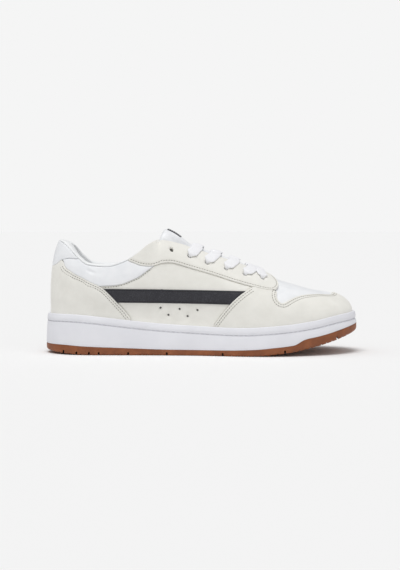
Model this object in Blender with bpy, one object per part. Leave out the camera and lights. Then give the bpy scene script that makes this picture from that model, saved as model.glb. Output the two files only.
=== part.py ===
"""Low skateboarding shoe for the right foot, on a cupped rubber sole.

Frame: +X to the toe, +Y to the medial (inner) side, +Z up, origin on the floor under the middle of the shoe.
Sizes are in millimetres, and MM turns them into metres where a mesh is made.

The upper is a surface S(lap, rise). lap runs round the shoe: 0 at the heel, 1 at the toe along the lateral side,
and 2 at the heel again along the medial side. rise runs from 0 at the cup's floor to 1 at the top line or the
ridge of the instep. Every panel is a region of that surface between two offsets from it.
"""

import math

import bpy
import numpy as np
from mathutils.geometry import delaunay_2d_cdt

MM = 0.001

# Overall sizes
SOLE_LENGTH = 300.0
BALL_WIDTH = 104.0
HEEL_WIDTH = 75.0
TOE_SWING = 7.0
HEEL_RADIUS = 34.0
TOE_RADIUS = 37.0
HEEL_STACK = 38.0
TOE_SPRING = 20.0
COLLAR_HEIGHT = 108.0
INSTEP_SHARE = 1.0231
INSTEP_HEIGHT = INSTEP_SHARE * COLLAR_HEIGHT

# Sole
GUM_HEIGHT = 9.5
GUM_CORNER = 2.4
SOLE_DRAFT = 1.0
RIM_HEIGHT = 7.0
RIM_SETBACK = 1.6
RIM_LIP = 1.8
GROOVE_DEPTH = 0.8
GROOVE_HEIGHT = 1.1
CUP_DEPTH = 8.0
CHANNEL_WIDTH = 1.7
CHANNEL_DEPTH = 3.0
INSOLE_THICKNESS = 5.0
INSOLE_DISH = 2.0
INSOLE_BEVEL = 7.0

# Clearances between pieces
SEAT_GAP = 0.3
CUP_GAP = 0.6
LAYER_GAP = 0.7
LINING_GAP = 1.7
SEAM_HALF = 0.2

# Upper, from the inside out
WALL = 2.2
QUARTER_THICKNESS = 0.9
BAND_THICKNESS = 0.8
OVERLAY_THICKNESS = 2.3
UPPER_INSET = RIM_SETBACK + RIM_LIP + CUP_GAP + OVERLAY_THICKNESS + LAYER_GAP
CUP_RISE = 0.1

# Throat, eyelets and laces
THROAT_HALF = 15.0
THROAT_END = 0.70
EYELET_RADIUS = 2.2
LACE_WIDTH = 8.6
LACE_THICKNESS = 1.8

# Collar and tongue padding
COLLAR_PAD = 8.0
COLLAR_DEPTH = 34.0
COLLAR_ROLL = 3.4
COLLAR_OVERHANG = 1.9
COLLAR_STATIONS = 31
TONGUE_THICKNESS = 5.0
TONGUE_PAD = 6.0
TONGUE_HALF = 27.0
TONGUE_FRONT_HALF = 20.0
TONGUE_LIFT = 9.5
TONGUE_SINK = 0.8

# Mesh steps
PANEL_STEP = 8.5
TOE_STEP = 7.5
WALL_STEP = 12.0
RING_POINTS = 72

# Sole outline: along is a share of the length, lateral and medial are shares of the local width
OUTLINE_COLUMNS = ("along", "lateral", "medial")
OUTLINE = (
    (0.06, 0.400, 0.400),
    (0.12, 0.480, 0.480),
    (0.20, 0.500, 0.487),
    (0.30, 0.497, 0.432),
    (0.40, 0.455, 0.345),
    (0.50, 0.430, 0.306),
    (0.60, 0.471, 0.365),
    (0.68, 0.500, 0.433),
    (0.74, 0.500, 0.476),
    (0.80, 0.471, 0.490),
    (0.88, 0.389, 0.457),
    (0.94, 0.279, 0.380),
)

# Side of the sole: bottom is a share of the toe spring, gum of the gum height, rim of the heel stack
SOLE_SIDE_COLUMNS = ("along", "bottom", "gum", "rim")
SOLE_SIDE = (
    (0.00, 0.16, 1.00, 1.000),
    (0.06, 0.07, 0.99, 1.008),
    (0.12, 0.01, 0.88, 0.992),
    (0.17, 0.00, 0.81, 0.955),
    (0.28, 0.00, 0.69, 0.855),
    (0.39, 0.00, 0.58, 0.775),
    (0.50, 0.00, 0.56, 0.725),
    (0.58, 0.00, 0.58, 0.700),
    (0.66, 0.00, 0.67, 0.707),
    (0.73, 0.10, 0.88, 0.745),
    (0.785, 0.20, 1.10, 0.788),
    (0.82, 0.31, 1.64, 0.825),
    (0.865, 0.46, 1.92, 0.880),
    (0.90, 0.60, 2.18, 0.940),
    (0.94, 0.78, 2.52, 0.995),
    (1.00, 1.08, 3.00, 1.050),
)

# Where the tread's channels cross the sole
CHANNELS = (0.064, 0.106, 0.146, 0.177, 0.269, 0.390, 0.564, 0.757, 0.926)

# Top line of the collar: half is a share of the heel width, up of the collar height
COLLAR_COLUMNS = ("lap", "along", "half", "up")
COLLAR = (
    (0.000, 0.0507, 0.000, 0.990),
    (0.050, 0.0540, 0.120, 0.985),
    (0.100, 0.0680, 0.220, 0.963),
    (0.150, 0.0880, 0.300, 0.910),
    (0.200, 0.1130, 0.353, 0.838),
    (0.250, 0.1450, 0.391, 0.781),
    (0.300, 0.2030, 0.416, 0.767),
    (0.335, 0.2535, 0.421, 0.804),
    (0.365, 0.2950, 0.410, 0.878),
    (0.3900, 0.3300, 0.380, 0.955),
    (0.4000, 0.3450, 0.330, 0.982),
    (0.4073, 0.3560, 0.240, 0.999),
    (0.4140, 0.3658, 0.117, 1.014),
    (0.4200, 0.3745, 0.000, 1.023),
)
COLLAR_FRONT = COLLAR[-1][0]

# Where each lap meets the ridge of the instep and vamp
RIDGE_LAP_COLUMNS = ("lap", "along")
RIDGE_LAP = (
    (0.420, 0.3745),
    (0.470, 0.446),
    (0.500, 0.489),
    (0.550, 0.567),
    (0.600, 0.638),
    (0.650, 0.694),
    (0.700, 0.733),
    (0.800, 0.785),
    (0.900, 0.838),
    (1.000, 0.893),
)

# Height of the ridge, as a share of the instep height
RIDGE_COLUMNS = ("along", "up")
RIDGE = (
    (0.3745, 1.000),
    (0.420, 0.961),
    (0.475, 0.909),
    (0.567, 0.823),
    (0.640, 0.748),
    (0.690, 0.688),
    (0.720, 0.649),
    (0.746, 0.616),
    (0.778, 0.587),
    (0.812, 0.559),
    (0.857, 0.528),
    (0.893, 0.513),
)

# Girth of the upper: bulges are shares of the heel width, and the two reaches shape the curve's ends
GIRTH_COLUMNS = ("lap", "bulge_lateral", "bulge_medial", "rise_reach", "arrival", "top_reach")
GIRTH = (
    (0.00, 0.004, 0.004, 0.42, 68.0, 0.95),
    (0.10, 0.010, 0.010, 0.42, 72.0, 0.90),
    (0.20, 0.025, 0.025, 0.40, 82.0, 0.60),
    (0.30, 0.035, 0.040, 0.40, 88.0, 0.40),
    (0.365, 0.030, 0.045, 0.45, 80.0, 0.60),
    (0.390, 0.028, 0.045, 0.55, 68.0, 0.80),
    (0.400, 0.027, 0.045, 0.68, 52.0, 0.88),
    (0.407, 0.026, 0.045, 0.78, 34.0, 0.90),
    (0.414, 0.025, 0.045, 0.84, 16.0, 0.90),
    (0.420, 0.024, 0.044, 0.88, 0.0, 0.89),
    (0.450, 0.020, 0.042, 0.84, 0.0, 0.86),
    (0.50, 0.015, 0.036, 0.76, 0.0, 0.76),
    (0.60, 0.012, 0.020, 0.66, 0.0, 0.62),
    (0.70, 0.008, 0.010, 0.58, 0.0, 0.55),
    (0.80, 0.004, 0.004, 0.55, 0.0, 0.52),
    (0.90, 0.000, 0.000, 0.53, 0.0, 0.50),
    (1.00, 0.000, 0.000, 0.53, 0.0, 0.50),
)

# Flare of the throat towards its top: extra half width as a share of the throat's own
THROAT_FLARE_COLUMNS = ("along", "flare")
THROAT_FLARE = (
    (0.30, 0.95),
    (0.375, 0.50),
    (0.40, 0.24),
    (0.44, 0.08),
    (0.50, 0.02),
    (0.58, 0.00),
    (0.80, 0.00),
)

# Panel edges as seen from the side: along is a share of the length, up a share of the collar height
EYELETS = (
    (0.403, 0.905),
    (0.459, 0.848),
    (0.514, 0.790),
    (0.574, 0.738),
    (0.632, 0.688),
    (0.688, 0.650),
)
TAB_LOWER_EDGE = ((0.114, 0.834), (0.088, 0.838), (0.062, 0.822), (0.042, 0.780))
COUNTER_EDGE = (
    (0.068, 0.800),
    (0.073, 0.763),
    (0.101, 0.702),
    (0.137, 0.651),
    (0.173, 0.606),
    (0.209, 0.536),
    (0.237, 0.456),
    (0.259, 0.387),
    (0.277, 0.320),
)
COLLAR_PANEL_EDGE = (
    (0.177, 0.600),
    (0.223, 0.605),
    (0.259, 0.626),
    (0.299, 0.674),
    (0.325, 0.725),
    (0.350, 0.775),
)
EYESTAY_REAR_EDGE = ((0.268, 0.822), (0.297, 0.789), (0.325, 0.772), (0.350, 0.775))
EYESTAY_LOWER_EDGE = (
    (0.350, 0.775),
    (0.372, 0.797),
    (0.398, 0.801),
    (0.442, 0.770),
    (0.496, 0.725),
    (0.553, 0.676),
    (0.589, 0.642),
    (0.639, 0.600),
    (0.690, 0.563),
)
EYESTAY_NOSE = ((0.690, 0.563), (0.718, 0.552), (0.735, 0.572), (0.737, 0.612))
EYESTAY_FRONT = 0.716
TOE_REAR_EDGE = ((0.655, 0.583), (0.628, 0.539), (0.595, 0.464), (0.561, 0.352), (0.540, 0.270))
TOE_UPPER_EDGE = (
    (0.733, 0.535),
    (0.735, 0.472),
    (0.745, 0.449),
    (0.757, 0.455),
    (0.777, 0.478),
    (0.803, 0.498),
)
TOE_CAP_EDGE = ((0.838, 0.280), (0.878, 0.205), (0.910, 0.105), (0.922, 0.000))
BAND_LOWER_EDGE = ((0.180, 0.463), (0.600, 0.440))
BAND_WIDTH = 12.5


def spline(knots, values, derivative=False):
    """A natural cubic spline through the knots, as a function of an array."""
    x = np.asarray(knots, float)
    y = np.asarray(values, float)
    h = np.diff(x)
    matrix = np.zeros((len(x), len(x)))
    right = np.zeros(len(x))
    matrix[0, 0] = 1.0
    matrix[-1, -1] = 1.0
    for i in range(1, len(x) - 1):
        matrix[i, i - 1 : i + 2] = (h[i - 1], 2 * (h[i - 1] + h[i]), h[i])
        right[i] = 6 * ((y[i + 1] - y[i]) / h[i] - (y[i] - y[i - 1]) / h[i - 1])
    bend = np.linalg.solve(matrix, right)

    def at(where):
        where = np.asarray(where, float)
        inside = np.clip(where, x[0], x[-1])
        i = np.clip(np.searchsorted(x, inside, side="right") - 1, 0, len(h) - 1)
        a = (x[i + 1] - inside) / h[i]
        b = 1 - a
        if derivative:
            slope = (y[i + 1] - y[i]) / h[i]
            return slope + h[i] / 6 * ((3 * b**2 - 1) * bend[i + 1] - (3 * a**2 - 1) * bend[i])
        cubic = (a**3 - a) * bend[i] + (b**3 - b) * bend[i + 1]
        return a * y[i] + b * y[i + 1] + cubic * h[i] ** 2 / 6

    return at


def monotone(knots, values):
    """A smooth curve through the knots that never overshoots them."""
    x = np.asarray(knots, float)
    y = np.asarray(values, float)
    h = np.diff(x)
    secant = np.diff(y) / h
    slope = np.zeros(len(x))
    same = secant[:-1] * secant[1:] > 0
    weights = (2 * h[1:] + h[:-1], h[1:] + 2 * h[:-1])
    with np.errstate(divide="ignore", invalid="ignore"):
        mean = (weights[0] + weights[1]) / (weights[0] / secant[:-1] + weights[1] / secant[1:])
    slope[1:-1] = np.where(same, mean, 0.0)
    slope[0], slope[-1] = secant[0], secant[-1]

    def at(where):
        inside = np.clip(np.asarray(where, float), x[0], x[-1])
        i = np.clip(np.searchsorted(x, inside, side="right") - 1, 0, len(h) - 1)
        t = (inside - x[i]) / h[i]
        start = (1 + 2 * t) * (1 - t) ** 2 * y[i] + t * (1 - t) ** 2 * h[i] * slope[i]
        return start + t**2 * (3 - 2 * t) * y[i + 1] + t**2 * (t - 1) * h[i] * slope[i + 1]

    return at


def columns(table, names):
    """The table's columns by name."""
    return dict(zip(names, np.array(table, float).T))


def smooth_step(low, high, at):
    """0 below low, 1 above high, and a smooth ramp between."""
    t = np.clip((np.asarray(at, float) - low) / (high - low), 0, 1)
    return t * t * (3 - 2 * t)


def along_to_x(along):
    """Distance from the origin of a share of the sole's length."""
    return (np.asarray(along, float) - 0.5) * SOLE_LENGTH


def lap_to_along(lap):
    """Share of the sole's length at a lap's foot, close set at heel and toe."""
    return (1 - np.cos(np.pi * np.asarray(lap, float))) / 2


def along_to_lap(along):
    """The lateral lap whose foot is at this share of the length."""
    return np.arccos(1 - 2 * np.asarray(along, float)) / np.pi


def centre_line(along):
    """How far the shoe's middle swings to the medial side."""
    return TOE_SWING * smooth_step(0.45, 1.0, along)


def local_width(along):
    """Heel width at the back, ball width in front, and a blend between."""
    return HEEL_WIDTH + (BALL_WIDTH - HEEL_WIDTH) * smooth_step(0.25, 0.60, along)


def fullness(side_column):
    """Half width over sin(pi lap), which stays finite where heel and toe round off."""
    table = columns(OUTLINE, OUTLINE_COLUMNS)
    lap = along_to_lap(table["along"])
    half = table[side_column] * local_width(table["along"])
    swing = centre_line(table["along"]) * (1 if side_column == "lateral" else -1)
    middle = (half + swing) / np.sin(np.pi * lap)
    ends = [math.sqrt(radius * SOLE_LENGTH / 2) for radius in (HEEL_RADIUS, TOE_RADIUS)]
    return spline([0.0, *lap, 1.0], [ends[0], *middle, ends[1]])


FULLNESS = {"lateral": fullness("lateral"), "medial": fullness("medial")}
SOLE = columns(SOLE_SIDE, SOLE_SIDE_COLUMNS)
RIDGE_TABLE = columns(RIDGE, RIDGE_COLUMNS)
RIDGE_UP = spline(RIDGE_TABLE["along"], RIDGE_TABLE["up"])
RIDGE_SLOPE = spline(RIDGE_TABLE["along"], RIDGE_TABLE["up"], derivative=True)
RIDGE_ALONG = monotone(*columns(RIDGE_LAP, RIDGE_LAP_COLUMNS).values())
COLLAR_TABLE = columns(COLLAR, COLLAR_COLUMNS)
COLLAR_LINE = {
    name: monotone(COLLAR_TABLE["lap"], COLLAR_TABLE[name]) for name in ("along", "half", "up")
}
GIRTH_TABLE = columns(GIRTH, GIRTH_COLUMNS)
GIRTH_LINE = {name: monotone(GIRTH_TABLE["lap"], GIRTH_TABLE[name]) for name in GIRTH_COLUMNS[1:]}
FLARE_TABLE = columns(THROAT_FLARE, THROAT_FLARE_COLUMNS)


def fold(lap):
    """(lap on one side, -1 lateral or 1 medial) of a lap that may run round the shoe."""
    wrapped = np.mod(np.asarray(lap, float), 2.0)
    return np.where(wrapped <= 1, wrapped, 2 - wrapped), np.where(wrapped <= 1, -1.0, 1.0)


def outline_raw(lap):
    """The sole's largest outline, from above."""
    one_side, side = fold(lap)
    along = lap_to_along(one_side)
    full = np.where(side < 0, FULLNESS["lateral"](one_side), FULLNESS["medial"](one_side))
    y = centre_line(along) + side * np.sin(np.pi * one_side) * full
    return np.stack([along_to_x(along), y], axis=-1)


def outline(lap, inset=0.0):
    """The outline moved inwards by a constant distance."""
    step = 1e-4
    run = outline_raw(np.asarray(lap) + step) - outline_raw(np.asarray(lap) - step)
    run /= np.linalg.norm(run, axis=-1, keepdims=True)
    inwards = np.stack([-run[..., 1], run[..., 0]], axis=-1)
    return outline_raw(lap) + inwards * np.asarray(inset)[..., None]


def sole_level(name, x):
    """Height of the sole's bottom, gum line or rim at x."""
    unit = {"bottom": TOE_SPRING, "gum": GUM_HEIGHT, "rim": HEEL_STACK}[name]
    along = np.asarray(x, float) / SOLE_LENGTH + 0.5
    if name == "rim":
        return unit * spline(SOLE["along"], SOLE[name])(along)
    return unit * np.interp(along, SOLE["along"], SOLE[name])


RIM_UP = spline(SOLE["along"], SOLE["rim"])


def rim_height(x):
    """Height of the cup's rim at x."""
    return HEEL_STACK * RIM_UP(np.asarray(x, float) / SOLE_LENGTH + 0.5)


def top_point(lap):
    """Where a lap ends: on the collar's top line, or on the ridge in front of it."""
    one_side, side = fold(lap)
    on_ridge = one_side >= COLLAR_FRONT
    along = np.where(on_ridge, RIDGE_ALONG(one_side), COLLAR_LINE["along"](one_side))
    half = np.where(on_ridge, 0.0, COLLAR_LINE["half"](one_side)) * HEEL_WIDTH
    ridge = RIDGE_UP(along) * INSTEP_HEIGHT
    up = np.where(on_ridge, ridge, COLLAR_LINE["up"](one_side) * COLLAR_HEIGHT)
    return np.stack([along_to_x(along), centre_line(along) + side * half, up], axis=-1)


def base(lap, rise):
    """The point of the upper's outer surface at lap and rise."""
    lap, rise = np.broadcast_arrays(np.asarray(lap, float), np.asarray(rise, float))
    one_side, side = fold(lap)
    foot = outline(lap, UPPER_INSET)
    inward = outline(lap, UPPER_INSET + 1.0) - foot
    rim = rim_height(foot[..., 0])
    top = top_point(lap)
    reach = np.maximum(((top[..., :2] - foot) * inward).sum(axis=-1), 0)
    climb = top[..., 2] - rim
    on_ridge = smooth_step(COLLAR_FRONT - 0.03, COLLAR_FRONT, one_side)
    slope = RIDGE_SLOPE(RIDGE_ALONG(one_side)) * INSTEP_HEIGHT / SOLE_LENGTH * on_ridge
    arrival = np.radians(GIRTH_LINE["arrival"](one_side))
    limits = (
        np.maximum(reach, 3.0) / np.maximum(np.cos(arrival), 0.02),
        climb / np.maximum(np.sin(arrival), 0.02),
    )
    handle = GIRTH_LINE["top_reach"](one_side) * (limits[0] ** -4 + limits[1] ** -4) ** -0.25
    t = np.clip((rise - CUP_RISE) / (1 - CUP_RISE), 0, 1)
    b1, b2, b3 = 3 * t * (1 - t) ** 2, 3 * t**2 * (1 - t), t**3
    end = np.cos(arrival) * handle
    near_top = top[..., :2] - inward * end[..., None]
    bulge = np.where(
        side < 0, GIRTH_LINE["bulge_lateral"](one_side), GIRTH_LINE["bulge_medial"](one_side)
    )
    near_top_climb = climb - np.sin(arrival) * handle - slope * inward[..., 0] * end
    upward = b1 * GIRTH_LINE["rise_reach"](one_side) * climb + b2 * near_top_climb + b3 * climb
    out = bulge * HEEL_WIDTH * np.sin(np.pi * np.clip(upward / climb, 0, 1)) ** 2
    plan = (
        foot * (1 - b2 - b3)[..., None]
        + near_top * b2[..., None]
        + top[..., :2] * b3[..., None]
        - inward * out[..., None]
    )
    floor = rim - CUP_DEPTH + SEAT_GAP
    in_cup = floor + (rim - floor) * np.clip(rise / CUP_RISE, 0, 1)
    in_recess = rise < CUP_RISE
    plan = np.where(in_recess[..., None], foot, plan)
    z = np.where(in_recess, in_cup, rim + upward)
    return np.concatenate([plan, z[..., None]], axis=-1)


def normal(lap, rise):
    """The outward unit normal of the upper's surface."""
    lap, rise = np.broadcast_arrays(np.asarray(lap, float), np.asarray(rise, float))
    step = 2e-4
    high = np.minimum(rise + step, 1.0)
    low = np.maximum(rise - step, 0.0)
    climb = base(lap, high) - base(lap, low)
    run = base(lap + step, np.minimum(rise, 0.995)) - base(lap - step, np.minimum(rise, 0.995))
    across = np.cross(run, climb)
    length = np.maximum(np.linalg.norm(across, axis=-1, keepdims=True), 1e-12)
    across = across / length
    one_side, _ = fold(lap)
    slope = RIDGE_SLOPE(RIDGE_ALONG(one_side)) * INSTEP_HEIGHT / SOLE_LENGTH
    ridge = np.stack([-slope, np.zeros_like(slope), np.ones_like(slope)], axis=-1)
    ridge /= np.linalg.norm(ridge, axis=-1, keepdims=True)
    near = (smooth_step(0.93, 0.995, rise) * (one_side >= COLLAR_FRONT))[..., None]
    mixed = across * (1 - near) + ridge * near
    return mixed / np.linalg.norm(mixed, axis=-1, keepdims=True)


def surface(lap, rise, offset=0.0):
    """The point at a distance outside the upper's surface."""
    return base(lap, rise) + normal(lap, rise) * np.asarray(offset, float)[..., None]


def throat_half(x):
    """Half width of the throat at x, with a round front end."""
    along = x / SOLE_LENGTH + 0.5
    flare = np.interp(along, FLARE_TABLE["along"], FLARE_TABLE["flare"])
    from_end = along_to_x(THROAT_END) - x
    into_round = np.clip(1 - from_end / THROAT_HALF, 0, 1)
    return THROAT_HALF * (1 + flare) * np.sqrt(1 - into_round**2)


RISES = np.linspace(0, 1, 161)


def top_rise(lap):
    """The rise at which the upper ends: the top line, the throat's edge or the ridge."""
    lap = np.atleast_1d(np.asarray(lap, float))
    points = base(lap[:, None], RISES[None, :])
    middle = centre_line(points[..., 0] / SOLE_LENGTH + 0.5)
    room = np.abs(points[..., 1] - middle) - throat_half(points[..., 0])
    in_throat = (points[..., 0] > along_to_x(FLARE_TABLE["along"][0])) & (
        points[..., 0] < along_to_x(THROAT_END)
    )
    open_here = (room < 0) & in_throat & (RISES > 0.4)
    ends = np.ones(len(lap))
    for i in np.flatnonzero(open_here.any(axis=1)):
        j = int(np.argmax(open_here[i]))
        share = room[i, j - 1] / (room[i, j - 1] - room[i, j])
        ends[i] = RISES[j - 1] + share * (RISES[j] - RISES[j - 1])
    return ends


def lap_of_ridge(along):
    """The lateral lap that meets the ridge at this share of the length."""
    laps = np.linspace(COLLAR_FRONT, 1, 400)
    return float(np.interp(along, RIDGE_ALONG(laps), laps))


GRID_LAPS = np.linspace(0.002, 0.998, 160)
GRID_RISES = np.linspace(CUP_RISE, 1.0, 100)
GRID = base(GRID_LAPS[:, None], GRID_RISES[None, :])


def on_side(along, up):
    """(lap, rise) of a point of the lateral side, given as it is seen from the side."""
    goal = np.array([along_to_x(along), up * COLLAR_HEIGHT])
    miss = np.linalg.norm(GRID[..., [0, 2]] - goal, axis=-1)
    i, j = np.unravel_index(int(np.argmin(miss)), miss.shape)
    at = np.array([GRID_LAPS[i], GRID_RISES[j]])
    for _ in range(12):
        here = base(*at)[[0, 2]]
        step = 1e-4
        turn = np.stack(
            [(base(at[0] + step, at[1])[[0, 2]] - here), (base(at[0], at[1] - step)[[0, 2]] - here)],
            axis=1,
        )
        move = np.linalg.lstsq(turn, goal - here, rcond=1e-6)[0] * np.array([step, -step])
        at = at + np.clip(move, -0.02, 0.02)
        at = np.clip(at, [0.001, CUP_RISE], [0.999, 1.0])
    return float(at[0]), float(at[1])


def from_above(along, half):
    """(lap, rise) of a point of the lateral side, given as it is seen from above."""
    x = along_to_x(along)
    goal = np.array([x, float(centre_line(along)) - half * BALL_WIDTH])
    laps = np.linspace(0.6, 1.0, 161)[:, None]
    points = base(laps, np.linspace(0.2, 1, 161)[None, :])
    miss = np.linalg.norm(points[..., :2] - goal, axis=-1)
    i, j = np.unravel_index(int(np.argmin(miss)), miss.shape)
    return float(laps[i, 0]), float(np.linspace(0.2, 1, 161)[j])


# The pattern plane, in which panels are drawn: both its axes are close to millimetres on the shoe
PLANE_LAPS = np.linspace(-1, 3, 1601)
PLANE_RUNS = np.concatenate(
    [[0], np.cumsum(np.linalg.norm(np.diff(base(PLANE_LAPS, 0.35), axis=0), axis=1))]
)
PLANE_RUNS -= np.interp(0.0, PLANE_LAPS, PLANE_RUNS)
GIRTH_LENGTH = 95.0


def to_plane(points):
    """Pattern-plane points of (lap, rise) pairs."""
    points = np.asarray(points, float)
    run = np.interp(points[:, 0], PLANE_LAPS, PLANE_RUNS)
    return np.stack([run, points[:, 1] * GIRTH_LENGTH], axis=1)


def from_plane(points):
    """(lap, rise) pairs of pattern-plane points."""
    lap = np.interp(points[:, 0], PLANE_RUNS, PLANE_LAPS)
    return np.stack([lap, points[:, 1] / GIRTH_LENGTH], axis=1)


def over_ridge(points):
    """(lap, rise) pairs where a rise above 1 means the medial side, past the ridge."""
    lap, rise = points[:, 0], points[:, 1]
    past = rise > 1
    return np.stack([np.where(past, 2 - lap, lap), np.where(past, 2 - rise, rise)], axis=1)


def smooth_run(points, step):
    """A smooth curve through a few pattern-plane points, with even spacing."""
    points = np.asarray(points, float)
    knots = np.concatenate([[0], np.cumsum(np.linalg.norm(np.diff(points, axis=0), axis=1))])
    if len(points) < 3:
        curve = [np.interp, np.interp]
        fine = [np.interp(np.linspace(0, knots[-1], 200), knots, points[:, k]) for k in (0, 1)]
    else:
        curve = [spline(knots, points[:, k]) for k in (0, 1)]
        fine = [curve[k](np.linspace(0, knots[-1], 200)) for k in (0, 1)]
    fine = np.stack(fine, axis=1)
    length = np.concatenate([[0], np.cumsum(np.linalg.norm(np.diff(fine, axis=0), axis=1))])
    count = max(2, int(round(length[-1] / step)) + 1)
    even = np.linspace(0, length[-1], count)
    return np.stack([np.interp(even, length, fine[:, k]) for k in (0, 1)], axis=1)


def closed_loop(runs):
    """One closed loop from runs that join end to start."""
    return np.concatenate([run[:-1] for run in runs])


def signed_area(loop):
    """Area of a loop, positive when it runs anticlockwise."""
    x, y = loop[:, 0], loop[:, 1]
    return float(np.sum(x * np.roll(y, -1) - np.roll(x, -1) * y) / 2)


def inset_loop(loop, distance):
    """The loop moved inwards."""
    if signed_area(loop) < 0:
        loop = loop[::-1]
    before = loop - np.roll(loop, 1, axis=0)
    after = np.roll(loop, -1, axis=0) - loop
    turns = []
    for edge in (before, after):
        unit = edge / np.linalg.norm(edge, axis=1, keepdims=True)
        turns.append(np.stack([-unit[:, 1], unit[:, 0]], axis=1))
    middle = turns[0] + turns[1]
    length = np.sum(middle**2, axis=1, keepdims=True) / 2
    return loop + distance * middle / np.maximum(length, 0.35)


def inside(points, loop):
    """Which points are inside the loop."""
    x, y = points[:, 0][:, None], points[:, 1][:, None]
    x0, y0 = loop[:, 0], loop[:, 1]
    x1, y1 = np.roll(x0, -1), np.roll(y0, -1)
    crosses = (y0 > y) != (y1 > y)
    with np.errstate(divide="ignore", invalid="ignore"):
        at = x0 + (y - y0) * (x1 - x0) / (y1 - y0)
    return (crosses & (x < at)).sum(axis=1) % 2 == 1


def distance_to(points, loop):
    """Distance of each point to the loop."""
    start, end = loop, np.roll(loop, -1, axis=0)
    run = end - start
    share = ((points[:, None] - start) * run).sum(-1) / np.maximum((run**2).sum(-1), 1e-12)
    near = start + np.clip(share, 0, 1)[..., None] * run
    return np.linalg.norm(points[:, None] - near, axis=-1).min(axis=1)


def triangulate(loops, step):
    """(points, triangles) that fill the first loop, less the others."""
    low, high = loops[0].min(axis=0), loops[0].max(axis=0)
    rows = np.arange(low[1], high[1], step * math.sqrt(3) / 2)
    seeds = [
        (x, y)
        for i, y in enumerate(rows)
        for x in np.arange(low[0] + (i % 2) * step / 2, high[0], step)
    ]
    seeds = np.array(seeds)
    keep = inside(seeds, loops[0])
    for loop in loops:
        keep &= distance_to(seeds, loop) > 0.55 * step
    for hole in loops[1:]:
        keep &= ~inside(seeds, hole)
    points, edges = list(map(tuple, seeds[keep])), []
    for loop in loops:
        start = len(points)
        points += list(map(tuple, loop))
        edges += [(start + i, start + (i + 1) % len(loop)) for i in range(len(loop))]
    made = delaunay_2d_cdt(points, edges, [], 0, 1e-5)
    points = np.array([tuple(p) for p in made[0]])
    faces = np.array(made[2])
    middles = points[faces].mean(axis=1)
    keep = inside(middles, loops[0])
    for hole in loops[1:]:
        keep &= ~inside(middles, hole)
    return points, faces[keep]


def clear_scene():
    """Removes what the startup file holds."""
    for thing in list(bpy.data.objects):
        bpy.data.objects.remove(thing, do_unlink=True)


def material(name, colour, roughness, metallic=0.0):
    """A plain material for one finish."""
    made = bpy.data.materials.new(name)
    made.use_nodes = True
    shader = made.node_tree.nodes["Principled BSDF"]
    shader.inputs["Base Color"].default_value = (*colour, 1.0)
    shader.inputs["Roughness"].default_value = roughness
    shader.inputs["Metallic"].default_value = metallic
    return made


def add_object(name, points, faces, finish, sharp_degrees=35.0):
    """A named object from points in millimetres."""
    mesh = bpy.data.meshes.new(name)
    mesh.from_pydata([tuple(p) for p in np.asarray(points) * MM], [], [tuple(f) for f in faces])
    mesh.validate()
    mesh.shade_smooth()
    mesh.set_sharp_from_angle(angle=math.radians(sharp_degrees))
    if finish:
        mesh.materials.append(finish)
    made = bpy.data.objects.new(name, mesh)
    bpy.context.scene.collection.objects.link(made)
    return made


def weld(points, faces, within=1e-3):
    """Points that coincide made one: (index of the kept points, faces)."""
    _, first, index = np.unique(
        np.round(points / within).astype(np.int64), axis=0, return_index=True, return_inverse=True
    )
    return first, index.reshape(-1), index.reshape(-1)[faces]


def shell(laps_rises, faces, outer, inner):
    """(points, faces) of a closed shell between two offsets from the upper's surface."""
    lap, rise = laps_rises[:, 0], laps_rises[:, 1]
    middle = base(lap, rise)
    outward = normal(lap, rise)
    first, index, faces = weld(middle, faces)
    joined = np.zeros((len(first), 3))
    np.add.at(joined, index, outward)
    joined /= np.linalg.norm(joined, axis=1, keepdims=True)
    middle = middle[first]
    whole = (faces[:, 0] != faces[:, 1]) & (faces[:, 1] != faces[:, 2]) & (faces[:, 0] != faces[:, 2])
    faces = faces[whole]
    _, match, times = np.unique(
        np.sort(faces, axis=1), axis=0, return_inverse=True, return_counts=True
    )
    faces = faces[times[match.reshape(-1)] == 1]
    corners = middle[faces]
    turn = np.cross(corners[:, 1] - corners[:, 0], corners[:, 2] - corners[:, 0])
    if (turn * joined[faces].sum(axis=1)).sum() < 0:
        faces = faces[:, ::-1]
    count = len(middle)
    directed = np.concatenate([faces[:, [0, 1]], faces[:, [1, 2]], faces[:, [2, 0]]])
    known = set(map(tuple, directed))
    rim = [(a, b) for a, b in map(tuple, directed) if (b, a) not in known]
    walls = [(b, a, a + count, b + count) for a, b in rim]
    points = np.concatenate([middle + joined * outer, middle + joined * inner])
    made = [tuple(f) for f in faces] + [tuple(f[::-1] + count) for f in faces] + walls
    return points, made


def panel(name, loops, outer, inner, finish, step=PANEL_STEP, ridge=False):
    """A panel of the upper: a region of the pattern plane between two offsets."""
    points, faces = triangulate(loops, step)
    pairs = from_plane(points)
    if ridge:
        pairs = over_ridge(pairs)
    return add_object(name, *shell(pairs, faces, outer, inner), finish)


def side_points(rows):
    """Pattern-plane points of an edge given as it is seen from the side."""
    return to_plane([on_side(*row) for row in rows])


def mirrored(run):
    """A lateral run on the medial side of the pattern plane."""
    pairs = from_plane(run)
    return to_plane(np.stack([2 - pairs[:, 0], pairs[:, 1]], axis=1))


def round_heel(run):
    """A lateral run on the medial side, reached round the heel."""
    pairs = from_plane(run)
    return to_plane(np.stack([-pairs[:, 0], pairs[:, 1]], axis=1))


def past_ridge(run):
    """A lateral run on the medial side, reached over the ridge."""
    pairs = from_plane(run)
    return to_plane(np.stack([pairs[:, 0], 2 - pairs[:, 1]], axis=1))


def level_run(start, end, rise, step):
    """A run along the shoe at a constant rise."""
    return smooth_run(to_plane([(start, rise), (end, rise)]), step)


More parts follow.
